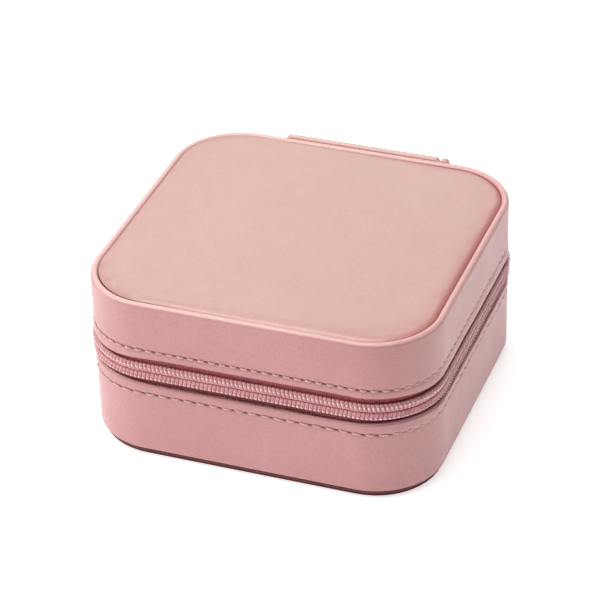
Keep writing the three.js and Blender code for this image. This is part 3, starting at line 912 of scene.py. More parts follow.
def closed_pad(name, inset, top, foot, material, fine=0.3, coarse=1.5, edge=2.4):
    """A closed pad over the plan. top and foot give heights from (distance in from the edge, x, y)."""
    us = graded(WIDTH / 2 - inset, fine, coarse, edge)
    vs = graded(DEPTH / 2 - inset, fine, coarse, edge)
    u, v = np.meshgrid(us, vs, indexing="ij")
    x, y = rounded_plan(u, v, inset)
    d = np.maximum(edge_distance(x, y, inset), 0)
    upper = np.stack([x, y, top(d, x, y)], axis=-1).reshape(-1, 3)
    lower = np.stack([x, y, foot(d, x, y)], axis=-1).reshape(-1, 3)
    return solid(name, np.concatenate([upper, lower]), slab_faces(*u.shape), material)


def eased(level, change, reach):
    """Heights of a flat face whose edge leaves its level smoothly, by change over reach."""
    return lambda d, x, y: level + change * (1 - np.clip(d / reach, 0, 1)) ** 2


def inflate(piece, pressure, cap, held, frames=20):
    """Blender's cloth blows the piece up from inside. Points in held stay, and none moves more than cap."""
    start = vertices(piece.data)
    group = piece.vertex_groups.new(name="held")
    group.add([int(index) for index in held], 1.0, "REPLACE")
    cloth = piece.modifiers.new("Cloth", "CLOTH")
    cloth.settings.quality = 4
    cloth.settings.use_pressure = True
    cloth.settings.uniform_pressure_force = pressure
    cloth.settings.tension_stiffness = 15.0
    cloth.settings.compression_stiffness = 15.0
    cloth.settings.bending_stiffness = 0.5
    cloth.settings.vertex_group_mass = "held"
    cloth.settings.effector_weights.gravity = 0
    cloth.collision_settings.use_collision = False
    scene = bpy.context.scene
    for number in range(1, frames + 1):
        scene.frame_set(number)
    graph = bpy.context.evaluated_depsgraph_get()
    step = vertices(piece.evaluated_get(graph).data) - start
    piece.modifiers.clear()
    piece.vertex_groups.clear()
    scene.frame_set(1)
    length = np.linalg.norm(step, axis=1, keepdims=True)
    limit = cap * MM
    step *= np.where(length > 1e-12, limit * np.tanh(length / limit) / np.maximum(length, 1e-12), 0)
    move_vertices(piece.data, start + step)


def subdivide(piece):
    modifier(piece, "SUBSURF", levels=1, render_levels=1)
    apply_modifiers(piece)


# The padded top panel.
PAD_INSET = 2 * BEAD - 0.02
PAD_TOP = box_of("lid_pad_cover")[1][2]
PAD_FOOT = RIM_FOOT + 0.05
PAD_SHOULDER = 2.6
PAD_EDGE = 0.85  # the height at which the pad meets the rim, above its foot
PAD_TIGHT = 1.2  # and how much more where it fits closely
PAD_DROP = 0.5  # how far the shoulder is below the highest that the panel may reach


def pad_top(d, x, y):
    edge = PAD_EDGE + PAD_TIGHT * tightness(x, y)
    rise = PAD_TOP - PAD_DROP - (PAD_FOOT + edge)
    shoulder = np.clip(d / PAD_SHOULDER, 0, 1)
    arch = np.clip(1 - (1 - shoulder) ** 2.6, 0, 1) ** 0.6
    crown = 0.3 * smooth(d / 34)
    wave = 0.035 * np.sin(x / 9.0 + 1.1) * np.cos(y / 12.5) + 0.02 * np.sin((x + 2 * y) / 5.0)
    return PAD_FOOT + edge + rise * arch + (crown + wave) * smooth(d / 5)


pad = closed_pad("lid_pad", PAD_INSET, pad_top, eased(PAD_FOOT, 0.0, 1.0), LIT_TOP_LEATHER)
pad_z = vertices(pad.data)[:, 2] / MM
inflate(pad, 3.0, 0.14, np.flatnonzero(pad_z < PAD_FOOT + PAD_EDGE + 0.25))
subdivide(pad)
pad_x, pad_y, pad_z = vertices(pad.data).T / MM
pad_in = edge_distance(pad_x, pad_y, PAD_INSET)
pad_tight = tightness(pad_x, pad_y)
# Painted shade where the top panel meets the rim, weaker at the left and back.
pad_groove_shade = 1 - smooth((pad_z - PAD_FOOT - PAD_EDGE - PAD_TIGHT * pad_tight + 0.05) / 0.4)
add_value(pad, "groove", pad_groove_shade * (1 - 0.85 * pad_tight))
# Painted shade: a pink tint on the top panel's shoulder by the rim, strongest on the right side.
pad_right = smooth((pad_x / WIDTH - 0.15) / 0.25)
add_value(pad, "groove_shade_tint", (0.12 + 0.45 * pad_right) * (1 - np.clip(pad_in / 4.0, 0, 1)) ** 1.5)
place(pad, "lid", "top_leather", "lid_pad_cover")

# The sole panel is a leather-covered card whose dark maroon is painted shade under the case, and the lid's
# card is covered in velvet.
SOLE_INSET = 1.2
SOLE_TOP = box_of("sole_panel")[1][2]
CARD_INSET = 4.85
CARD_FACE, CARD_BACK = box_of("lid_panel")[0][2], box_of("lid_panel")[1][2]
sole_skins = (eased(SOLE_TOP, -0.5, 0.5), eased(0.0, 0.6, 0.7))
sole = closed_pad("sole", SOLE_INSET, *sole_skins, SOLE_SHADED_LEATHER, fine=0.2, coarse=3.0, edge=1.2)
place(sole, "base", "sole_leather", "sole_panel")


# ---- Linings: velvet trays, each one closed skin ----
def tray(name, profile, floor, face, body, node):
    """A tray from a wall profile whose last point joins a floor. face is 1 if the floor looks up, or -1."""
    count = 288
    s = np.linspace(0, PERIMETER, count, endpoint=False)
    insets, zs = np.array(profile).T
    soft = 0.05 * np.sin(s / PERIMETER * 2 * math.pi * 23)
    wall = ring_points(s, insets + soft[:, None] * (insets > 3.9), zs)
    columns = len(profile)
    parts = [wall.reshape(-1, 3)]
    faces = grid_faces(count, columns, wrap_rows=True)
    start = count * columns
    previous = [i * columns + columns - 1 for i in range(count)]
    for share in (0.992, 0.8, 0.6, 0.38, 0.16):
        parts.append(np.concatenate([wall[:, -1, :2] * share, np.full((count, 1), floor)], axis=1))
        current = [start + i for i in range(count)]
        for i in range(count):
            k = (i + 1) % count
            faces.append((previous[i], previous[k], current[k], current[i]))
        start += count
        previous = current
    parts.append(np.array([[0.0, 0.0, floor]]))
    faces += [(previous[i], previous[(i + 1) % count], start) for i in range(count)]
    made = make_mesh(name, np.concatenate(parts), faces, VELVET)
    thicken(made, 0.6, len(faces) - 1, face)
    place(made, body, "velvet", node)


def thicken(piece, thickness, face, towards):
    """Gives a sheet its thickness, on the side away from where its given face looks: up if towards is 1."""
    if piece.data.polygons[face].normal.z * towards < 0:
        piece.data.flip_normals()
    modifier(piece, "SOLIDIFY", thickness=thickness * MM, offset=-1)
    apply_modifiers(piece)


def lining_lip(z, into):
    """The turned edge of a lining at height z. into is -1 where its wall goes down, and 1 where it goes up."""
    edge = [(2.0, 0.65), (1.95, 0.3), (2.2, 0.02), (2.9, 0.0), (3.7, 0.05), (4.15, 0.35), (4.35, 0.9)]
    return [(inset, z + into * step) for inset, step in edge]


LINING = 0.7
LINING_INSET = 4.38
FLOOR_TOP = box_of("base_lining")[0][2] + LINING
low_wall = lining_lip(box_of("base_lining")[1][2], -1)
low_wall += [(LINING_INSET, 20.0), (LINING_INSET, 14.0), (LINING_INSET, FLOOR_TOP + 1.2)]
low_wall += [(4.55, FLOOR_TOP + 0.5), (5.0, FLOOR_TOP + 0.1), (5.8, FLOOR_TOP)]
tray("base_lining_tray", low_wall, FLOOR_TOP, 1, "base", "base_lining")

CEILING = box_of("lid_lining")[1][2] - LINING
high_wall = lining_lip(box_of("lid_lining")[0][2], 1)
high_wall += [(LINING_INSET, 37.0), (LINING_INSET, CEILING - 1.2)]
high_wall += [(4.5, CEILING - 0.5), (4.9, CEILING - 0.1), (5.8, CEILING)]
tray("lid_lining_tray", high_wall, CEILING, -1, "lid", "lid_lining")

card_skins = (eased(CARD_BACK, -0.4, 0.5), eased(CARD_FACE, 0.5, 0.8))
card = closed_pad("lid_card", CARD_INSET, *card_skins, VELVET, fine=0.25, coarse=3.0, edge=1.2)
place(card, "lid", "velvet", "lid_panel")


# ---- Ring rolls and dividers ----
ROLL_GAP = 0.22  # between a roll's cover and its CAD solid
ROLL_SECTION_ENDS = 0.15  # where the arch of the section starts and stops, in radians


def roll_section(half, z0, z1):
    """An arch-topped section: places across and heights, round from the foot's left end."""
    side = [z0 + k * (z1 - half - z0) / 6 for k in range(1, 7)]
    arch = np.linspace(ROLL_SECTION_ENDS, math.pi - ROLL_SECTION_ENDS, 18)
    section = [(-half * 0.93, z0), (-half, z0 + 0.8)]
    section += [(-half, z) for z in side]
    section += [(-half * math.cos(t), z1 - half + half * math.sin(t)) for t in arch]
    section += [(half, z) for z in reversed(side)]
    section += [(half, z0 + 0.8), (half * 0.93, z0)]
    return section + [(half * k, z0) for k in (0.6, 0.2, -0.2, -0.6)]


def roll_body(number):
    """One arch-topped foam roll: rounded ends, a sagging crown, and an end that follows the tray's corner."""
    low, high = box_of(f"ring_roll_{number}")
    y_mid, half = (low[1] + high[1]) / 2, (high[1] - low[1]) / 2 - ROLL_GAP
    z0, z1 = low[2] + 0.05, high[2] - 0.35
    x0 = low[0] + ROLL_GAP
    section = np.array(roll_section(half, z0, z1))
    wall_inset = CARD_INSET + ROLL_GAP
    reach = WIDTH / 2 - wall_inset
    over = np.maximum(np.abs(y_mid + section[:, 0]) - (DEPTH / 2 - CORNER), 0)
    corner = CORNER - wall_inset
    x_end = reach - corner + np.sqrt(np.maximum(corner**2 - np.minimum(over, corner) ** 2, 0))
    columns = 30
    centre_z = (z0 + z1) / 2
    points = []
    for t in np.linspace(0, 1, columns):
        end = min(t, 1 - t) * (reach - x0)
        pull = 1 - 0.12 * (1 - smooth(end / 2.2)) ** 2
        dip = 0.15 * math.sin(t * 9 + number) * smooth(end / 3)
        for (off, level), x1 in zip(section, x_end):
            z = max(centre_z + (level - centre_z) * pull, z0) + (dip if level > z1 - half else 0) * 0.5
            points.append((x0 + (x1 - x0) * t, y_mid + off * pull, z))
    return solid(f"ring_roll_soft_{number}", points, tube_faces(columns, len(section)), VELVET), z0


for number in range(1, 8):
    roll, foot = roll_body(number)
    modifier(roll, "REMESH", mode="VOXEL", voxel_size=1.15 * MM)
    apply_modifiers(roll)
    inflate(roll, 4.0, 0.26, np.flatnonzero(vertices(roll.data)[:, 2] / MM < foot + 0.6), frames=12)
    subdivide(roll)
    roll.data.polygons.foreach_set("use_smooth", [True] * len(roll.data.polygons))
    place(roll, "base", "velvet", f"ring_roll_{number}")


def soft_board(name, body, node):
    """A velvet-covered board: rounded edges, a slightly swollen middle and a soft top."""
    low, high = box_of(node)
    size = high - low
    thin = int(np.argmin(size))
    wide, tall = [k for k in range(3) if k != thin]
    rows, columns = (max(3, min(60, round(size[k] / 1.2))) + 1 for k in (wide, tall))
    points = []
    for side in (-1, 1):
        for i in range(rows):
            for j in range(columns):
                at_edge = i in (0, rows - 1) or j in (0, columns - 1)
                swell = (size[thin] / 4 - 0.03) * 0.55 if at_edge else size[thin] / 2 - 0.03
                point = np.zeros(3)
                point[wide] = low[wide] + size[wide] * i / (rows - 1)
                point[tall] = low[tall] + size[tall] * j / (columns - 1)
                point[thin] = (low[thin] + high[thin]) / 2 + side * swell
                points.append(point)
    made = solid(name, points, slab_faces(rows, columns), VELVET)
    subdivide(made)
    place(made, body, "velvet", node)


soft_board("ring_partition_board", "base", "ring_partition")
soft_board("cross_divider_board", "divider", "cross_divider")


# ---- The hinge strip: one piece of leather, creased at the fold line ----
STRIP_LOW = box_of("hinge_strip_lower")[0]
STRIP_HIGH = box_of("hinge_strip_upper")[1]
STRIP_IN, STRIP_OUT = STRIP_LOW[1], STRIP_HIGH[1]
FOLD_LOW = box_of("hinge_strip_lower")[1][2]
FOLD_HIGH = box_of("hinge_strip_upper")[0][2]
FOLD = (FOLD_LOW + FOLD_HIGH) / 2
STRIP_CORNER = 1.6
STRIP_STITCH_IN = 1.9  # the stitching's distance from the strip's edges
STRIP_PITCH = 3.05
STRIP_PROUD = 0.55  # its top edge shows over the rim
NOTCH_X = 24.1  # where the top edge has a small notch
NOTCH_DEPTH = 1.25


def hump(off, reach):
    """A bell curve: 1 where off is 0."""
    return np.exp(-((off / reach) ** 2))


def strip_stitch_places():
    """Places (x, z) and directions of the stitches along the strip's four edges."""
    x0, x1 = STRIP_LOW[0] + STRIP_STITCH_IN, STRIP_HIGH[0] - STRIP_STITCH_IN
    z0, z1 = STRIP_LOW[2] + STRIP_STITCH_IN, STRIP_HIGH[2] - STRIP_STITCH_IN

    def spaced(low, high):
        count = round((high - low) / STRIP_PITCH)
        return [low + (k + 0.5) * (high - low) / count for k in range(count)]

    places = [(x, z, "x") for z in (z0, z1) for x in spaced(x0, x1)]
    heights = spaced(z0, FOLD_LOW - 1.2) + spaced(FOLD_HIGH + 1.2, z1)
    return places + [(x, z, "z") for x in (x0, x1) for z in heights]


def hinge_strip():
    """A leather strip with rounded edges, creased at the fold, with a notch in its top edge at the right."""
    x0, x1 = STRIP_LOW[0] + 0.1, STRIP_HIGH[0] - 0.1
    z0, z1 = STRIP_LOW[2] + 0.1, STRIP_HIGH[2] + STRIP_PROUD
    x_mid, z_mid = (x0 + x1) / 2, (z0 + z1) / 2
    x, z = np.meshgrid(np.linspace(x0, x1, 168), np.linspace(z0, z1, 142), indexing="ij")
    x, z = round_corners(x - x_mid, z - z_mid, (x1 - x0) / 2, (z1 - z0) / 2, STRIP_CORNER)
    x, z = x + x_mid, z + z_mid
    z = z - NOTCH_DEPTH * hump(x - NOTCH_X, 0.42) * smooth((z - (z1 - 3.2)) / 2.6)
    to_edge = np.minimum(np.minimum(x - x0, x1 - x), np.minimum(z - z0, z1 - z))
    edge = np.clip(to_edge / 0.55, 0, 1)
    half = (STRIP_OUT - STRIP_IN - 0.1) / 2 * (0.7 + 0.3 * np.sqrt(np.clip(1 - (1 - edge) ** 2, 0, 1)))
    crease = hump(z - FOLD, 1.1)
    ripple = 0.05 * np.sin(z * 2.1 + 0.6 * np.sin(x / 6.0)) * hump(z - FOLD, 4.0)
    dent = 0.12 * hump(to_edge - STRIP_STITCH_IN, 0.5)
    holes = np.zeros_like(x)
    for px, pz, way in strip_stitch_places():
        along, over = (x - px, z - pz) if way == "x" else (z - pz, x - px)
        reach = np.hypot((along - STRIP_PITCH / 2) / 0.5, over / 0.27)
        holes = np.maximum(holes, np.clip(1.5 - reach, 0, 1))
    centre = (STRIP_IN + STRIP_OUT) / 2
    outer_y = centre + half - 0.28 * crease + ripple - dent - 0.25 * holes
    inner_y = centre - half + 0.12 * crease
    against_wall = smooth((np.abs(z - FOLD) - 4.5) / 3.0)
    inner_y = inner_y + (DEPTH / 2 + 0.08 - inner_y) * against_wall
    inner_y = inner_y - 0.45 * smooth((z - LID_TOP + 1.3) / 0.8)
    skins = [np.stack([x, y, z], axis=-1).reshape(-1, 3) for y in (outer_y, inner_y)]
    strip = solid("hinge_strip", np.concatenate(skins), slab_faces(*x.shape), WALL)
    # Painted shade in the strip's stitch holes, on its outer face.
    add_value(strip, "hole", np.concatenate([holes.ravel() * 0.9, np.zeros(x.size)]))
    # Painted light: a painted highlight on the strip's top edge outside, and its inner face painted pale
    # against its shade.
    lit_outside = 0.7 * smooth((z - z1 + 0.9) / 0.6)
    lit_inside = smooth((z - z1 + 2.0) / 0.6)
    add_value(strip, "painted_light", np.concatenate([lit_outside.ravel(), lit_inside.ravel()]))
    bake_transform(strip)
    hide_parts("hinge_strip_lower", "hinge_strip_upper")
    strip_stitches("base", False)
    strip_stitches("lid", True)


def strip_stitches(body, upper):
    """The stitches of the strip's lower or upper leaf."""
    chosen = [p for p in strip_stitch_places() if (p[1] > FOLD) == upper]
    at = np.array([(x, STRIP_OUT - 0.12, z) for x, z, _ in chosen])
    along = np.array([(-1.0, 0, 0) if way == "x" else (0, 0, 1.0) for _, _, way in chosen])
    out = np.tile([0.0, 1.0, 0.0], (len(chosen), 1))
    up = np.array([(0, 0, 1.0) if way == "x" else (1.0, 0, 0) for _, _, way in chosen])
    shape = (STRIP_PITCH - 1.1, 0.25, 5.0, 0.16)
    row = stitch_row(f"{body}_hinge_stitches", at, along, out, *shape, LEATHER_THREAD, flat=0.7, up=up)
    return place(row, body, "wall_leather")


hinge_strip()


# ---- The lid's pocket and its elastic ----
POCKET_LOW, POCKET_HIGH = box_of("pocket")
BAND_LOW, BAND_HIGH = box_of("pocket_elastic")
GATHERS = 26
BAND_RIB = 1.0


def pocket_shape(u, v):
    """The pouch's height over the plan: u from -1 to 1 across, v from 0 at the mouth to 1 at the back."""
    sides = (1 - np.abs(u) ** 5) ** 0.6
    back = (1 - v**3.2) ** 0.75
    droop = 0.62 + 0.38 * (1 - v) ** 1.2
    folds = np.sin(u * GATHERS * math.pi / 2 + 0.7 * np.sin(u * 9)) * np.exp(-v * 4.2)
    wander = 0.35 * np.sin(u * 5.1 + v * 4.0) * v * (1 - v)
    depth = POCKET_HIGH[2] - POCKET_LOW[2] - 1.3
    return POCKET_HIGH[2] - 0.35 - depth * sides * back * droop - 0.28 * folds * sides - wander * sides * 0.5


def pocket():
    """A pouch of velvet, gathered into the elastic at its mouth and let into the card all round."""
    columns, rows = 220, 70
    u, v = np.meshgrid(np.linspace(-1, 1, columns), np.linspace(0, 1, rows), indexing="ij")
    y = POCKET_LOW[1] + 0.5 + v * (POCKET_HIGH[1] - POCKET_LOW[1] - 0.9)
    inset = CARD_INSET + 1.1
    corner = CORNER - inset
    over = np.maximum(y - (DEPTH / 2 - CORNER), 0)
    reach = WIDTH / 2 - inset - corner + np.sqrt(np.maximum(corner**2 - np.minimum(over, corner) ** 2, 0))
    reach = np.minimum(reach, POCKET_HIGH[0] - 0.3)
    points = np.stack([u * reach, y, pocket_shape(u, v)], axis=-1)
    faces = grid_faces(columns, rows)
    pouch = make_mesh("pocket_pouch", points.reshape(-1, 3), faces, VELVET)
    thicken(pouch, 0.55, len(faces) // 2, -1)
    place(pouch, "lid", "velvet", "pocket")
    elastic_band()


def elastic_band():
    """The ribbed elastic along the pocket's mouth, drawn in by the gathers."""
    columns = 460
    x0, x1 = BAND_LOW[0] + 0.3, BAND_HIGH[0] - 0.3
    xs = np.linspace(x0, x1, columns)
    ring = [(0.0, 0.5), (0.12, 0.85), (0.5, 1.0), (2.4, 1.0), (4.3, 1.0), (4.7, 0.85), (4.8, 0.5)]
    ring += [(4.7, 0.15), (4.3, 0.0), (2.4, 0.0), (0.5, 0.0), (0.12, 0.15)]
    u = 2 * (xs - x0) / (x1 - x0) - 1
    bow = pocket_shape(u, np.zeros_like(u)) - POCKET_LOW[2]
    ridge = 0.05 * np.cos(xs / BAND_RIB * 2 * math.pi)
    points = []
    for x, lift, rib in zip(xs, bow, ridge):
        base = BAND_LOW[2] + 0.03 + max(0.0, lift - 1.0)
        for y, level in ring:
            z = base + 0.6 * level + (rib if level < 0.5 else -rib) * 0.8 + 0.05
            points.append((x, BAND_LOW[1] + 0.1 + y, z))
    band = solid("pocket_band", points, tube_faces(columns, len(ring)), ELASTIC)
    add_value(band, "arc", np.repeat(xs, len(ring)))
    add_value(band, "across", np.tile([y for y, _ in ring], columns))
    return place(band, "lid", "elastic", "pocket_elastic")


pocket()


# ---- Necklace straps ----
STRAP_SEAM_IN = 1.2
STRAP_PITCH = 2.2


def tongue_outline(x, y0, y1, half, count=14):
    """The plan of a strap: square at y0, round at y1."""
    end = np.linspace(0, math.pi, count)[1:-1]
    points = [(x - half, y0), (x - half, y1 - half)]
    points += [(x - half * math.cos(t), y1 - half + half * math.sin(t)) for t in end]
    points += [(x + half, y1 - half), (x + half, y0)]
    return points


def densified(points, step):
    """Points along a closed polygon, with each side split into pieces of about step."""
    made = []
    for a, b in zip(points, points[1:] + points[:1]):
        count = max(1, round(math.dist(a, b) / step))
        made += [(a[0] + (b[0] - a[0]) * k / count, a[1] + (b[1] - a[1]) * k / count) for k in range(count)]
    return made


def plate_mesh(name, plan, z0, z1, material, round_edge, layers=3):
    """A flat piece cut to a plan, with rounded edges. Rings shrink towards the centre on both faces."""
    plan = np.array(plan)
    centre = plan.mean(axis=0)
    normals = np.roll(plan, -1, axis=0) - np.roll(plan, 1, axis=0)
    normals = np.stack([normals[:, 1], -normals[:, 0]], axis=1)
    normals /= np.maximum(np.linalg.norm(normals, axis=1, keepdims=True), 1e-9)
    if float(((plan - centre) * normals).sum()) < 0:
        normals = -normals
    middle, half = (z0 + z1) / 2, (z1 - z0) / 2
    r = min(round_edge, half)
    shares = [0.12, 0.4, 0.7, 0.92]
    rows = [(centre + (plan - normals * r - centre) * share, -half) for share in shares]
    for turn in np.linspace(-90, 90, 2 * layers + 1):
        t = math.radians(turn)
        rows.append((plan - normals * r * (1 - math.cos(t)), (half - r) * np.sign(turn) + r * math.sin(t)))
    rows += [(centre + (plan - normals * r - centre) * share, half) for share in reversed(shares)]
    points = np.concatenate([np.column_stack([ring, np.full(len(plan), middle + z)]) for ring, z in rows])
    return solid(name, points, tube_faces(len(rows), len(plan)), material)


def turned(name, profile, x, y, material, sides=40):
    """A round piece turned about a vertical line, from a profile of (radius, height)."""
    points = [(x + r * math.cos(t), y + r * math.sin(t), z) for r, z in profile for t in turns(sides)]
    return solid(name, points, tube_faces(len(profile), sides), material)


def strap_seam(x, half, low, high):
    """Places and directions of a strap's stitches in plan, up one side, round the tip and down the other."""
    half -= STRAP_SEAM_IN
    lane = np.array(densified(tongue_outline(x, low[1] + STRAP_SEAM_IN, high[1] - 1.15, half), 0.2)[:-1])
    steps = np.concatenate([[0], np.cumsum(np.linalg.norm(np.diff(lane, axis=0), axis=1))])
    open_part = steps[-1] - 2 * half
    count = round(open_part / STRAP_PITCH)
    wanted = (np.arange(count) + 0.5) * open_part / count

    def along_lane(wanted):
        return np.stack([np.interp(wanted, steps, lane[:, k]) for k in (0, 1)], axis=1)

    at = along_lane(wanted)
    along = along_lane(wanted + 0.2) - at
    return at, along / np.linalg.norm(along, axis=1, keepdims=True)


def necklace_strap(label):
    """A leather tongue with its seams, the fold that holds it to the card, and its snap fastener."""
    low, high = box_of(f"strap_{label}")
    x, half = (low[0] + high[0]) / 2, (high[0] - low[0]) / 2
    body = f"{label}_strap"
    plan = densified(tongue_outline(x, low[1] + 0.05, high[1] - 0.05, half - 0.1), 0.5)
    tongue = plate_mesh(f"necklace_strap_{label}", plan, low[2] + 0.05, high[2] - 0.05, WALL, 0.35)
    place(tongue, body, "wall_leather", f"strap_{label}")

    at, along = strap_seam(x, half, low, high)
    run = np.column_stack([along, np.zeros(len(at))])
    for side, level, end in ((-1.0, low[2] + 0.06, "face"), (1.0, high[2] - 0.06, "back")):
        spots = np.column_stack([at, np.full(len(at), level)])
        out = np.tile([0.0, 0.0, side], (len(at), 1))
        shape = (1.45, 0.17, 4.0, 0.03, LEATHER_THREAD, 6, 5, 0.6)
        row = stitch_row(f"strap_stitches_{label}_{end}", spots, run, out, *shape, np.cross(out, run))
        place(row, body, "wall_leather")

    # The root: the strap's end turned up to the card and sewn down.
    low, high = box_of(f"strap_root_{label}")
    x0, x1, y0, y1 = x - half + 0.1, x + half - 0.1, low[1] + 0.15, high[1] - 0.15
    block = densified([(x0, y0), (x1, y0), (x1, y1), (x0, y1)], 0.5)
    root = plate_mesh(f"strap_fold_{label}", block, low[2] + 0.1, high[2] - 0.02, WALL, 0.9, 5)
    place(root, "lid", "wall_leather", f"strap_root_{label}")

    low, high = box_of(f"snap_cap_{label}")
    cx, cy = (low[0] + high[0]) / 2, (low[1] + high[1]) / 2
    r, z, top = (high[0] - low[0]) / 2, low[2], high[2]
    dome = [(0.05, z + 0.02), (r * 0.3, z + 0.03), (r * 0.55, z + 0.1), (r * 0.75, z + 0.22)]
    dome += [(r * 0.86, z + 0.36), (r * 0.9, z + 0.45), (r * 0.93, z + 0.42), (r * 0.98, z + 0.5)]
    dome += [(r, z + 0.62), (r * 0.99, z + 0.8), (r * 0.95, top - 0.06), (0.05, top - 0.02)]
    place(turned(f"snap_dome_{label}", dome, cx, cy, METAL), body, "rose_metal", f"snap_cap_{label}")

    low, high = box_of(f"snap_stud_{label}")
    r, z, top = (high[0] - low[0]) / 2, low[2], high[2]
    post = [(0.05, z + 0.1), (r * 0.3, z), (r * 0.42, z + 0.15), (r * 0.46, z + 0.4), (r * 0.4, z + 0.75)]
    post += [(r * 0.42, z + 1.0), (r * 0.8, z + 1.1), (r * 0.95, z + 1.25), (r, top - 0.5)]
    post += [(r, top - 0.02), (0.05, top - 0.01)]
    place(turned(f"snap_post_{label}", post, cx, cy, METAL), "lid", "rose_metal", f"snap_stud_{label}")


for label in ("left", "centre", "right"):
    necklace_strap(label)


# ---- The slider, its pull tab and the top stops ----
SLIDER_LOW, SLIDER_HIGH = box_of("zip_slider")
TAB_LOW, TAB_HIGH = box_of("pull_tab")
SLIDER_MID_Y = (SLIDER_LOW[1] + SLIDER_HIGH[1]) / 2
SLIDER_HALF_Z = 3.2
TAIL = 0.84  # how wide the slider's tail is, as a share of its nose
PLATE = 1.0
FRONT_IN = -WIDTH / 2 - 0.7  # the front plate's faces, then the back plate's
FRONT_OUT = FRONT_IN - PLATE
BACK_OUT = -WIDTH / 2 + TAPE_IN + 0.3
BACK_IN = BACK_OUT + PLATE
TAB_X = (TAB_LOW[0] + TAB_HIGH[0]) / 2
TAB_FACE = 0.46  # the tab's faces are this far either side of TAB_X


def stood_up(piece, x):
    """Turns a plate drawn in plan, as (y, z), to stand facing -X with its middle at x."""
    co = vertices(piece.data)
    move_vertices(piece.data, np.stack([co[:, 2] + x * MM, co[:, 0], co[:, 1]], axis=1))
    outwards(piece)
    return piece


def slider_plan():
    """The slider's face: broad shoulders at the nose, drawn in at the waist, rounded at the tail."""
    half_y = (SLIDER_HIGH[1] - SLIDER_LOW[1]) / 2
    points = []
    for turn in turns(96):
        y, z = boxy(turn, 0.5, 0.55)
        waist = 1 - (1 - TAIL) * (1 - smooth((y + 1) / 2 * 1.15))
        points.append((SLIDER_MID_Y + half_y * y, ZIP_MIDDLE + SLIDER_HALF_Z * z * waist))
    return points


def tube(name, path, radii, sides=12):
    """An oval metal bar along a path. radii are (up, across) at each point."""
    path = np.array(path, float)
    tangent = np.gradient(path, axis=0)
    tangent /= np.linalg.norm(tangent, axis=1, keepdims=True)
    up = np.array([0.0, 0.0, 1.0])
    side = np.cross(tangent, up)
    side /= np.linalg.norm(side, axis=1, keepdims=True)
    oval = [boxy(turn, 0.7) for turn in turns(sides)]
    points = [p + up * ra * c + n * rb * s for p, n, (ra, rb) in zip(path, side, radii) for c, s in oval]
    return solid(name, points, tube_faces(len(path), sides), METAL)


def bead(name, path, radius=0.13, sides=8):
    """A thin raised bead round a closed path that stands in a plane of constant x."""
    path = np.array(path)
    tangent = np.roll(path, -1, axis=0) - np.roll(path, 1, axis=0)
    tangent /= np.linalg.norm(tangent, axis=1, keepdims=True)
    x_axis = np.array([1.0, 0.0, 0.0])
    side = np.cross(tangent, x_axis)
    points = []
    for p, n in zip(path, side):
        points += [p + n * radius * math.cos(t) + x_axis * radius * math.sin(t) for t in turns(sides)]
    return solid(name, points, grid_faces(len(path), sides, True, True), METAL)


def join(name, parts):
    """One object from several meshes that share a material."""
    with bpy.context.temp_override(active_object=parts[0], selected_editable_objects=parts):
        bpy.ops.object.join()
    parts[0].name = name
    return parts[0]


def slider():
    """Two plates, the wedge between them, the front plate's lower flange and the tab's bridge."""
    parts = []
    for name, x in (("front", (FRONT_IN + FRONT_OUT) / 2), ("back", (BACK_IN + BACK_OUT) / 2)):
        plate = plate_mesh(f"slider_{name}", slider_plan(), -PLATE / 2, PLATE / 2, METAL, 0.38, 4)
        parts.append(stood_up(plate, x))
    wedge_y = SLIDER_HIGH[1] - 1.7
    web = [(wedge_y + 1.3 * math.cos(t), ZIP_MIDDLE + 0.14 * math.sin(t)) for t in turns(24)]
    depth = (BACK_OUT - FRONT_IN) / 2 + 0.2
    wedge = plate_mesh("slider_wedge", web, -depth, depth, METAL, 0.03, 1)
    parts.append(stood_up(wedge, (FRONT_IN + BACK_OUT) / 2))

    count = 20
    flange_z = ZIP_MIDDLE - SLIDER_HALF_Z + 0.22
    ys = np.linspace(SLIDER_LOW[1] + 1.2, SLIDER_HIGH[1] - 1.0, count)
    path = [(FRONT_IN + 0.25, y, flange_z) for y in ys]
    radii = [(0.24 * (0.35 + 0.65 * smooth(min(k, count - 1 - k) / 4)), 0.45) for k in range(count)]
    parts.append(tube("slider_flange", path, radii))

    foot, top = FRONT_OUT + 0.3, SLIDER_LOW[0] + 0.4
    path, radii = [], []
    for angle in np.linspace(0, math.pi, 33):
        along, rise = boxy(angle, 0.55, 0.6)
        path.append((foot - (foot - top) * rise, SLIDER_MID_Y - 2.2 * along, ZIP_MIDDLE))
        radii.append((0.8 - 0.12 * math.sin(angle), 0.38))
    parts.append(tube("slider_bridge", path, radii, 14))
    return join("slider_body", parts)


TAB_END_HALF = 2.6  # half the width of the tab's round end
TAB_END_Y = SLIDER_MID_Y - 17.0 + 0.05
GRIP_Y = TAB_END_Y + TAB_END_HALF  # the middle of the hole near the end


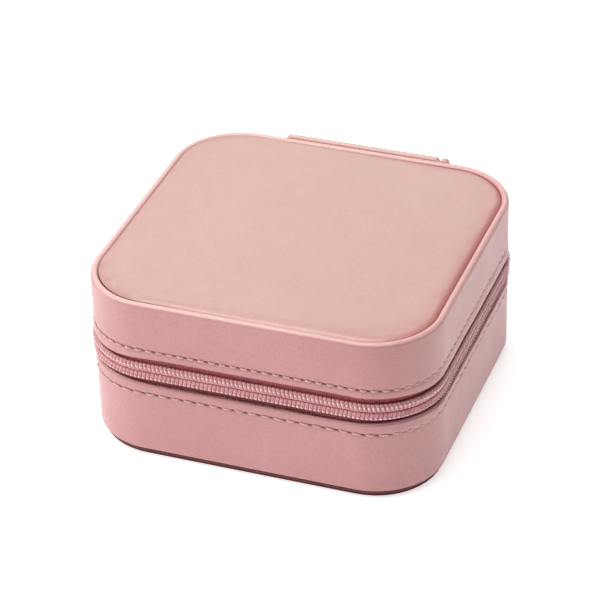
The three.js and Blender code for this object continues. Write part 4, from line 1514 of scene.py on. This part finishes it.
def tab_plan():
    """The pull tab's outline, with a waisted neck and a round end, and its two holes."""
    key = [(0.35, 1.95), (-0.6, 2.1), (-2.6, 2.1), (-3.9, 1.85), (-5.4, 2.2), (-8.0, 2.5), (-11.0, 2.6)]
    key = [(SLIDER_MID_Y + y, z) for y, z in key] + [(GRIP_Y, TAB_END_HALF)]
    ys = np.linspace(key[0][0], key[-1][0], 46)
    zs = np.interp(-ys, [-y for y, _ in key], [z for _, z in key])
    zs = np.convolve(np.pad(zs, 2, mode="edge"), np.ones(5) / 5, mode="valid")
    right = [(y, ZIP_MIDDLE + z) for y, z in zip(ys, zs)]
    end = np.linspace(0, math.pi, 24)[1:-1]
    tip = [(GRIP_Y - TAB_END_HALF * math.sin(t), ZIP_MIDDLE + TAB_END_HALF * math.cos(t)) for t in end]
    left = [(y, 2 * ZIP_MIDDLE - z) for y, z in reversed(right)]
    corners = [boxy(t, 0.6) for t in turns(40)]
    eye = [(SLIDER_MID_Y - 1.85 + 1.3 * c, ZIP_MIDDLE + 1.12 * s) for c, s in corners]
    grip = [(GRIP_Y + 1.2 * math.cos(t), ZIP_MIDDLE + 1.2 * math.sin(t)) for t in turns(32)]
    return [right + tip + left, eye, grip]


def pull_tab():
    """The tab: a bevelled plate from its outlines, with raised borders round its field and hole."""
    bevel = 0.18 * MM
    curve = bpy.data.curves.new("tab_curve", "CURVE")
    curve.dimensions = "2D"
    curve.fill_mode = "BOTH"
    curve.extrude = 0.30 * MM
    curve.bevel_depth = bevel
    curve.bevel_resolution = 3
    curve.offset = -bevel
    for line in tab_plan():
        spline = curve.splines.new("POLY")
        spline.points.add(len(line) - 1)
        for point, (y, z) in zip(spline.points, line):
            point.co = (y * MM, z * MM, 0, 1)
        spline.use_cyclic_u = True
    drawn = bpy.data.objects.new("tab_drawn", curve)
    bpy.context.scene.collection.objects.link(drawn)
    bpy.context.view_layer.update()
    graph = bpy.context.evaluated_depsgraph_get()
    mesh = bpy.data.meshes.new_from_object(drawn.evaluated_get(graph))
    bpy.data.objects.remove(drawn)
    mesh.materials.clear()
    mesh.materials.append(METAL)
    tab = bpy.data.objects.new("tab_plate", mesh)
    bpy.context.scene.collection.objects.link(tab)
    parts = [stood_up(tab, TAB_X)]
    field_y = SLIDER_MID_Y - 8.3
    for side in (-1, 1):
        x = TAB_X + side * TAB_FACE
        ring = [(x, GRIP_Y + 1.6 * math.cos(t), ZIP_MIDDLE + 1.6 * math.sin(t)) for t in turns(40)]
        border = [(x, field_y + 2.6 * c, ZIP_MIDDLE + 1.45 * s) for c, s in (boxy(t, 0.5) for t in turns(64))]
        parts.append(bead(f"tab_ring_{side}", ring))
        parts.append(bead(f"tab_border_{side}", border))
    return join("pull_tab_body", parts)


def top_stop(side, body):
    """A small metal clamp round the end of a coil: a bowed band with a pinched middle."""
    low, high = box_of(f"{side}_top_stop")
    middle, half = (low + high) / 2, (high - low) / 2
    rows, sides = 9, 28
    points = []
    for t in np.linspace(-1, 1, rows):
        size = math.sqrt(1 - abs(t) ** 5) * (0.93 + 0.07 * t * t) if abs(t) < 1 else 0.55
        for c, s in (boxy(turn, 0.6) for turn in turns(sides)):
            points.append(middle + half * (size * c, t, size * s))
    clamp = solid(f"{side}_stop_clamp", points, tube_faces(rows, sides), METAL)
    place(clamp, body, "rose_metal", f"{side}_top_stop")


place(slider(), "slider", "rose_metal", "zip_slider")
place(pull_tab(), "puller", "rose_metal", "pull_tab")
top_stop("lower", "base")
top_stop("upper", "lid")


# ---- CAD nodes that stay, with finished materials ----
inner_parts = {node: BOARD for node in ("base_floor_board", "base_frame", "lid_top_board", "lid_frame")}
inner_parts["lid_pad_foam"] = FOAM
for node, paint in inner_parts.items():
    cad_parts[node].data.materials.clear()
    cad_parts[node].data.materials.append(paint)


# ---- Floor, light and camera ----
FLOOR_SIDE = 12000.0
FLOOR_STEPS = 24
FLOOR_Z = -0.02  # just under the case, so that the two faces don't coincide


def studio():
    """A pale floor that glows faintly near the case and fully far from it, and a white backdrop."""
    floor_paint = Paint("floor_paint")
    drift = floor_paint.noise(300.0, 2.0)
    floor_color = floor_paint.mix(floor_paint.ramp(drift, 0.3, 0.7), rgb("DCDBDA"), rgb("E0DFDE"))
    glow = floor_paint.ramp(floor_paint.distance(), 220.0, 700.0, 0.68, 1.0)
    floor_paint.link(glow, floor_paint.shader.inputs["Emission Strength"])
    paint = floor_paint.finish(floor_color, 0.7, Specular_IOR_Level=0.1)
    line = np.linspace(-FLOOR_SIDE / 2, FLOOR_SIDE / 2, FLOOR_STEPS)
    points = [(x, y, FLOOR_Z) for x in line for y in line]
    faces = [face[::-1] for face in grid_faces(FLOOR_STEPS, FLOOR_STEPS)]
    make_mesh("floor", points, faces, paint)
    world = bpy.data.worlds.new("studio")
    bpy.context.scene.world = world
    world.use_nodes = True
    sky = world.node_tree.nodes["Background"]
    sky.inputs["Color"].default_value = (1.0, 0.985, 0.975, 1.0)
    # The backdrop looks white, and lights the case only faintly.
    ray = world.node_tree.nodes.new("ShaderNodeLightPath")
    level = world.node_tree.nodes.new("ShaderNodeMapRange")
    level.inputs["To Min"].default_value = 0.1
    level.inputs["To Max"].default_value = 1.05
    world.node_tree.links.new(ray.outputs["Is Camera Ray"], level.inputs["Value"])
    world.node_tree.links.new(level.outputs[0], sky.inputs["Strength"])


def softbox(name, at, towards, width, height, power, color):
    """An area light. Places in millimetres, power in watts."""
    light = bpy.data.lights.new(name, "AREA")
    light.shape = "RECTANGLE"
    light.size = width * MM
    light.size_y = height * MM
    light.energy = power
    light.color = color
    lamp = bpy.data.objects.new(name, light)
    bpy.context.scene.collection.objects.link(lamp)
    lamp.location = Vector(at) * MM
    aim = (Vector(towards) - Vector(at)).normalized()
    lamp.rotation_mode = "QUATERNION"
    lamp.rotation_quaternion = aim.to_track_quat("-Z", "Y")


# The photograph's viewpoint, from a fit of the case's outline, edges and stitch rows.
AZIMUTH, ELEVATION, ROLL = (math.radians(a) for a in (20.842, 33.315, -1.761))
DISTANCE = 757.0
TARGET = Vector((0.0, 0.0, 27.4))
MOVED_LEFT, MOVED_UP = 1.486, 0.043  # the camera's place, off the line to the target
SENSOR = 36.0
FOCAL_PIXELS = 2694.98
PICTURE_PIXELS = 600.0


def camera():
    level = Vector((math.cos(AZIMUTH), math.sin(AZIMUTH), 0.0))
    flat_back = Vector((math.sin(AZIMUTH), -math.cos(AZIMUTH), 0.0)) * math.cos(ELEVATION)
    back = flat_back + Vector((0.0, 0.0, math.sin(ELEVATION)))
    upright = back.cross(level)
    right = level * math.cos(ROLL) + upright * math.sin(ROLL)
    up = upright * math.cos(ROLL) - level * math.sin(ROLL)
    at = TARGET + back * DISTANCE - right * MOVED_LEFT + up * MOVED_UP
    data = bpy.data.cameras.new("camera")
    data.sensor_width = SENSOR
    data.lens = FOCAL_PIXELS * SENSOR / PICTURE_PIXELS
    data.clip_start = 0.01
    data.clip_end = 20.0
    eye = bpy.data.objects.new("camera", data)
    bpy.context.scene.collection.objects.link(eye)
    turn = Matrix((right, up, back)).transposed().to_4x4()
    eye.matrix_world = Matrix.Translation(at * MM) @ turn
    bpy.context.scene.camera = eye


studio()
softbox("overhead", (-120, -60, 640), (0, 0, 30), 520, 520, 4.5, (1.0, 0.99, 0.98))
softbox("back", (-208, 547, 384), (0, 0, 40), 560, 380, 1.1, (1.0, 0.99, 0.97))
softbox("left", (-540, -320, 220), (0, 0, 25), 240, 420, 1.1, (1.0, 0.99, 0.98))
softbox("right", (560, 200, 90), (0, 0, 25), 300, 160, 0.25, (0.93, 0.93, 1.0))
softbox("front", (-195, -405, 560), (0, -40, 45), 420, 70, 0.42, (1.0, 0.985, 0.97))
camera()
bpy.context.scene.view_settings.view_transform = "Standard"
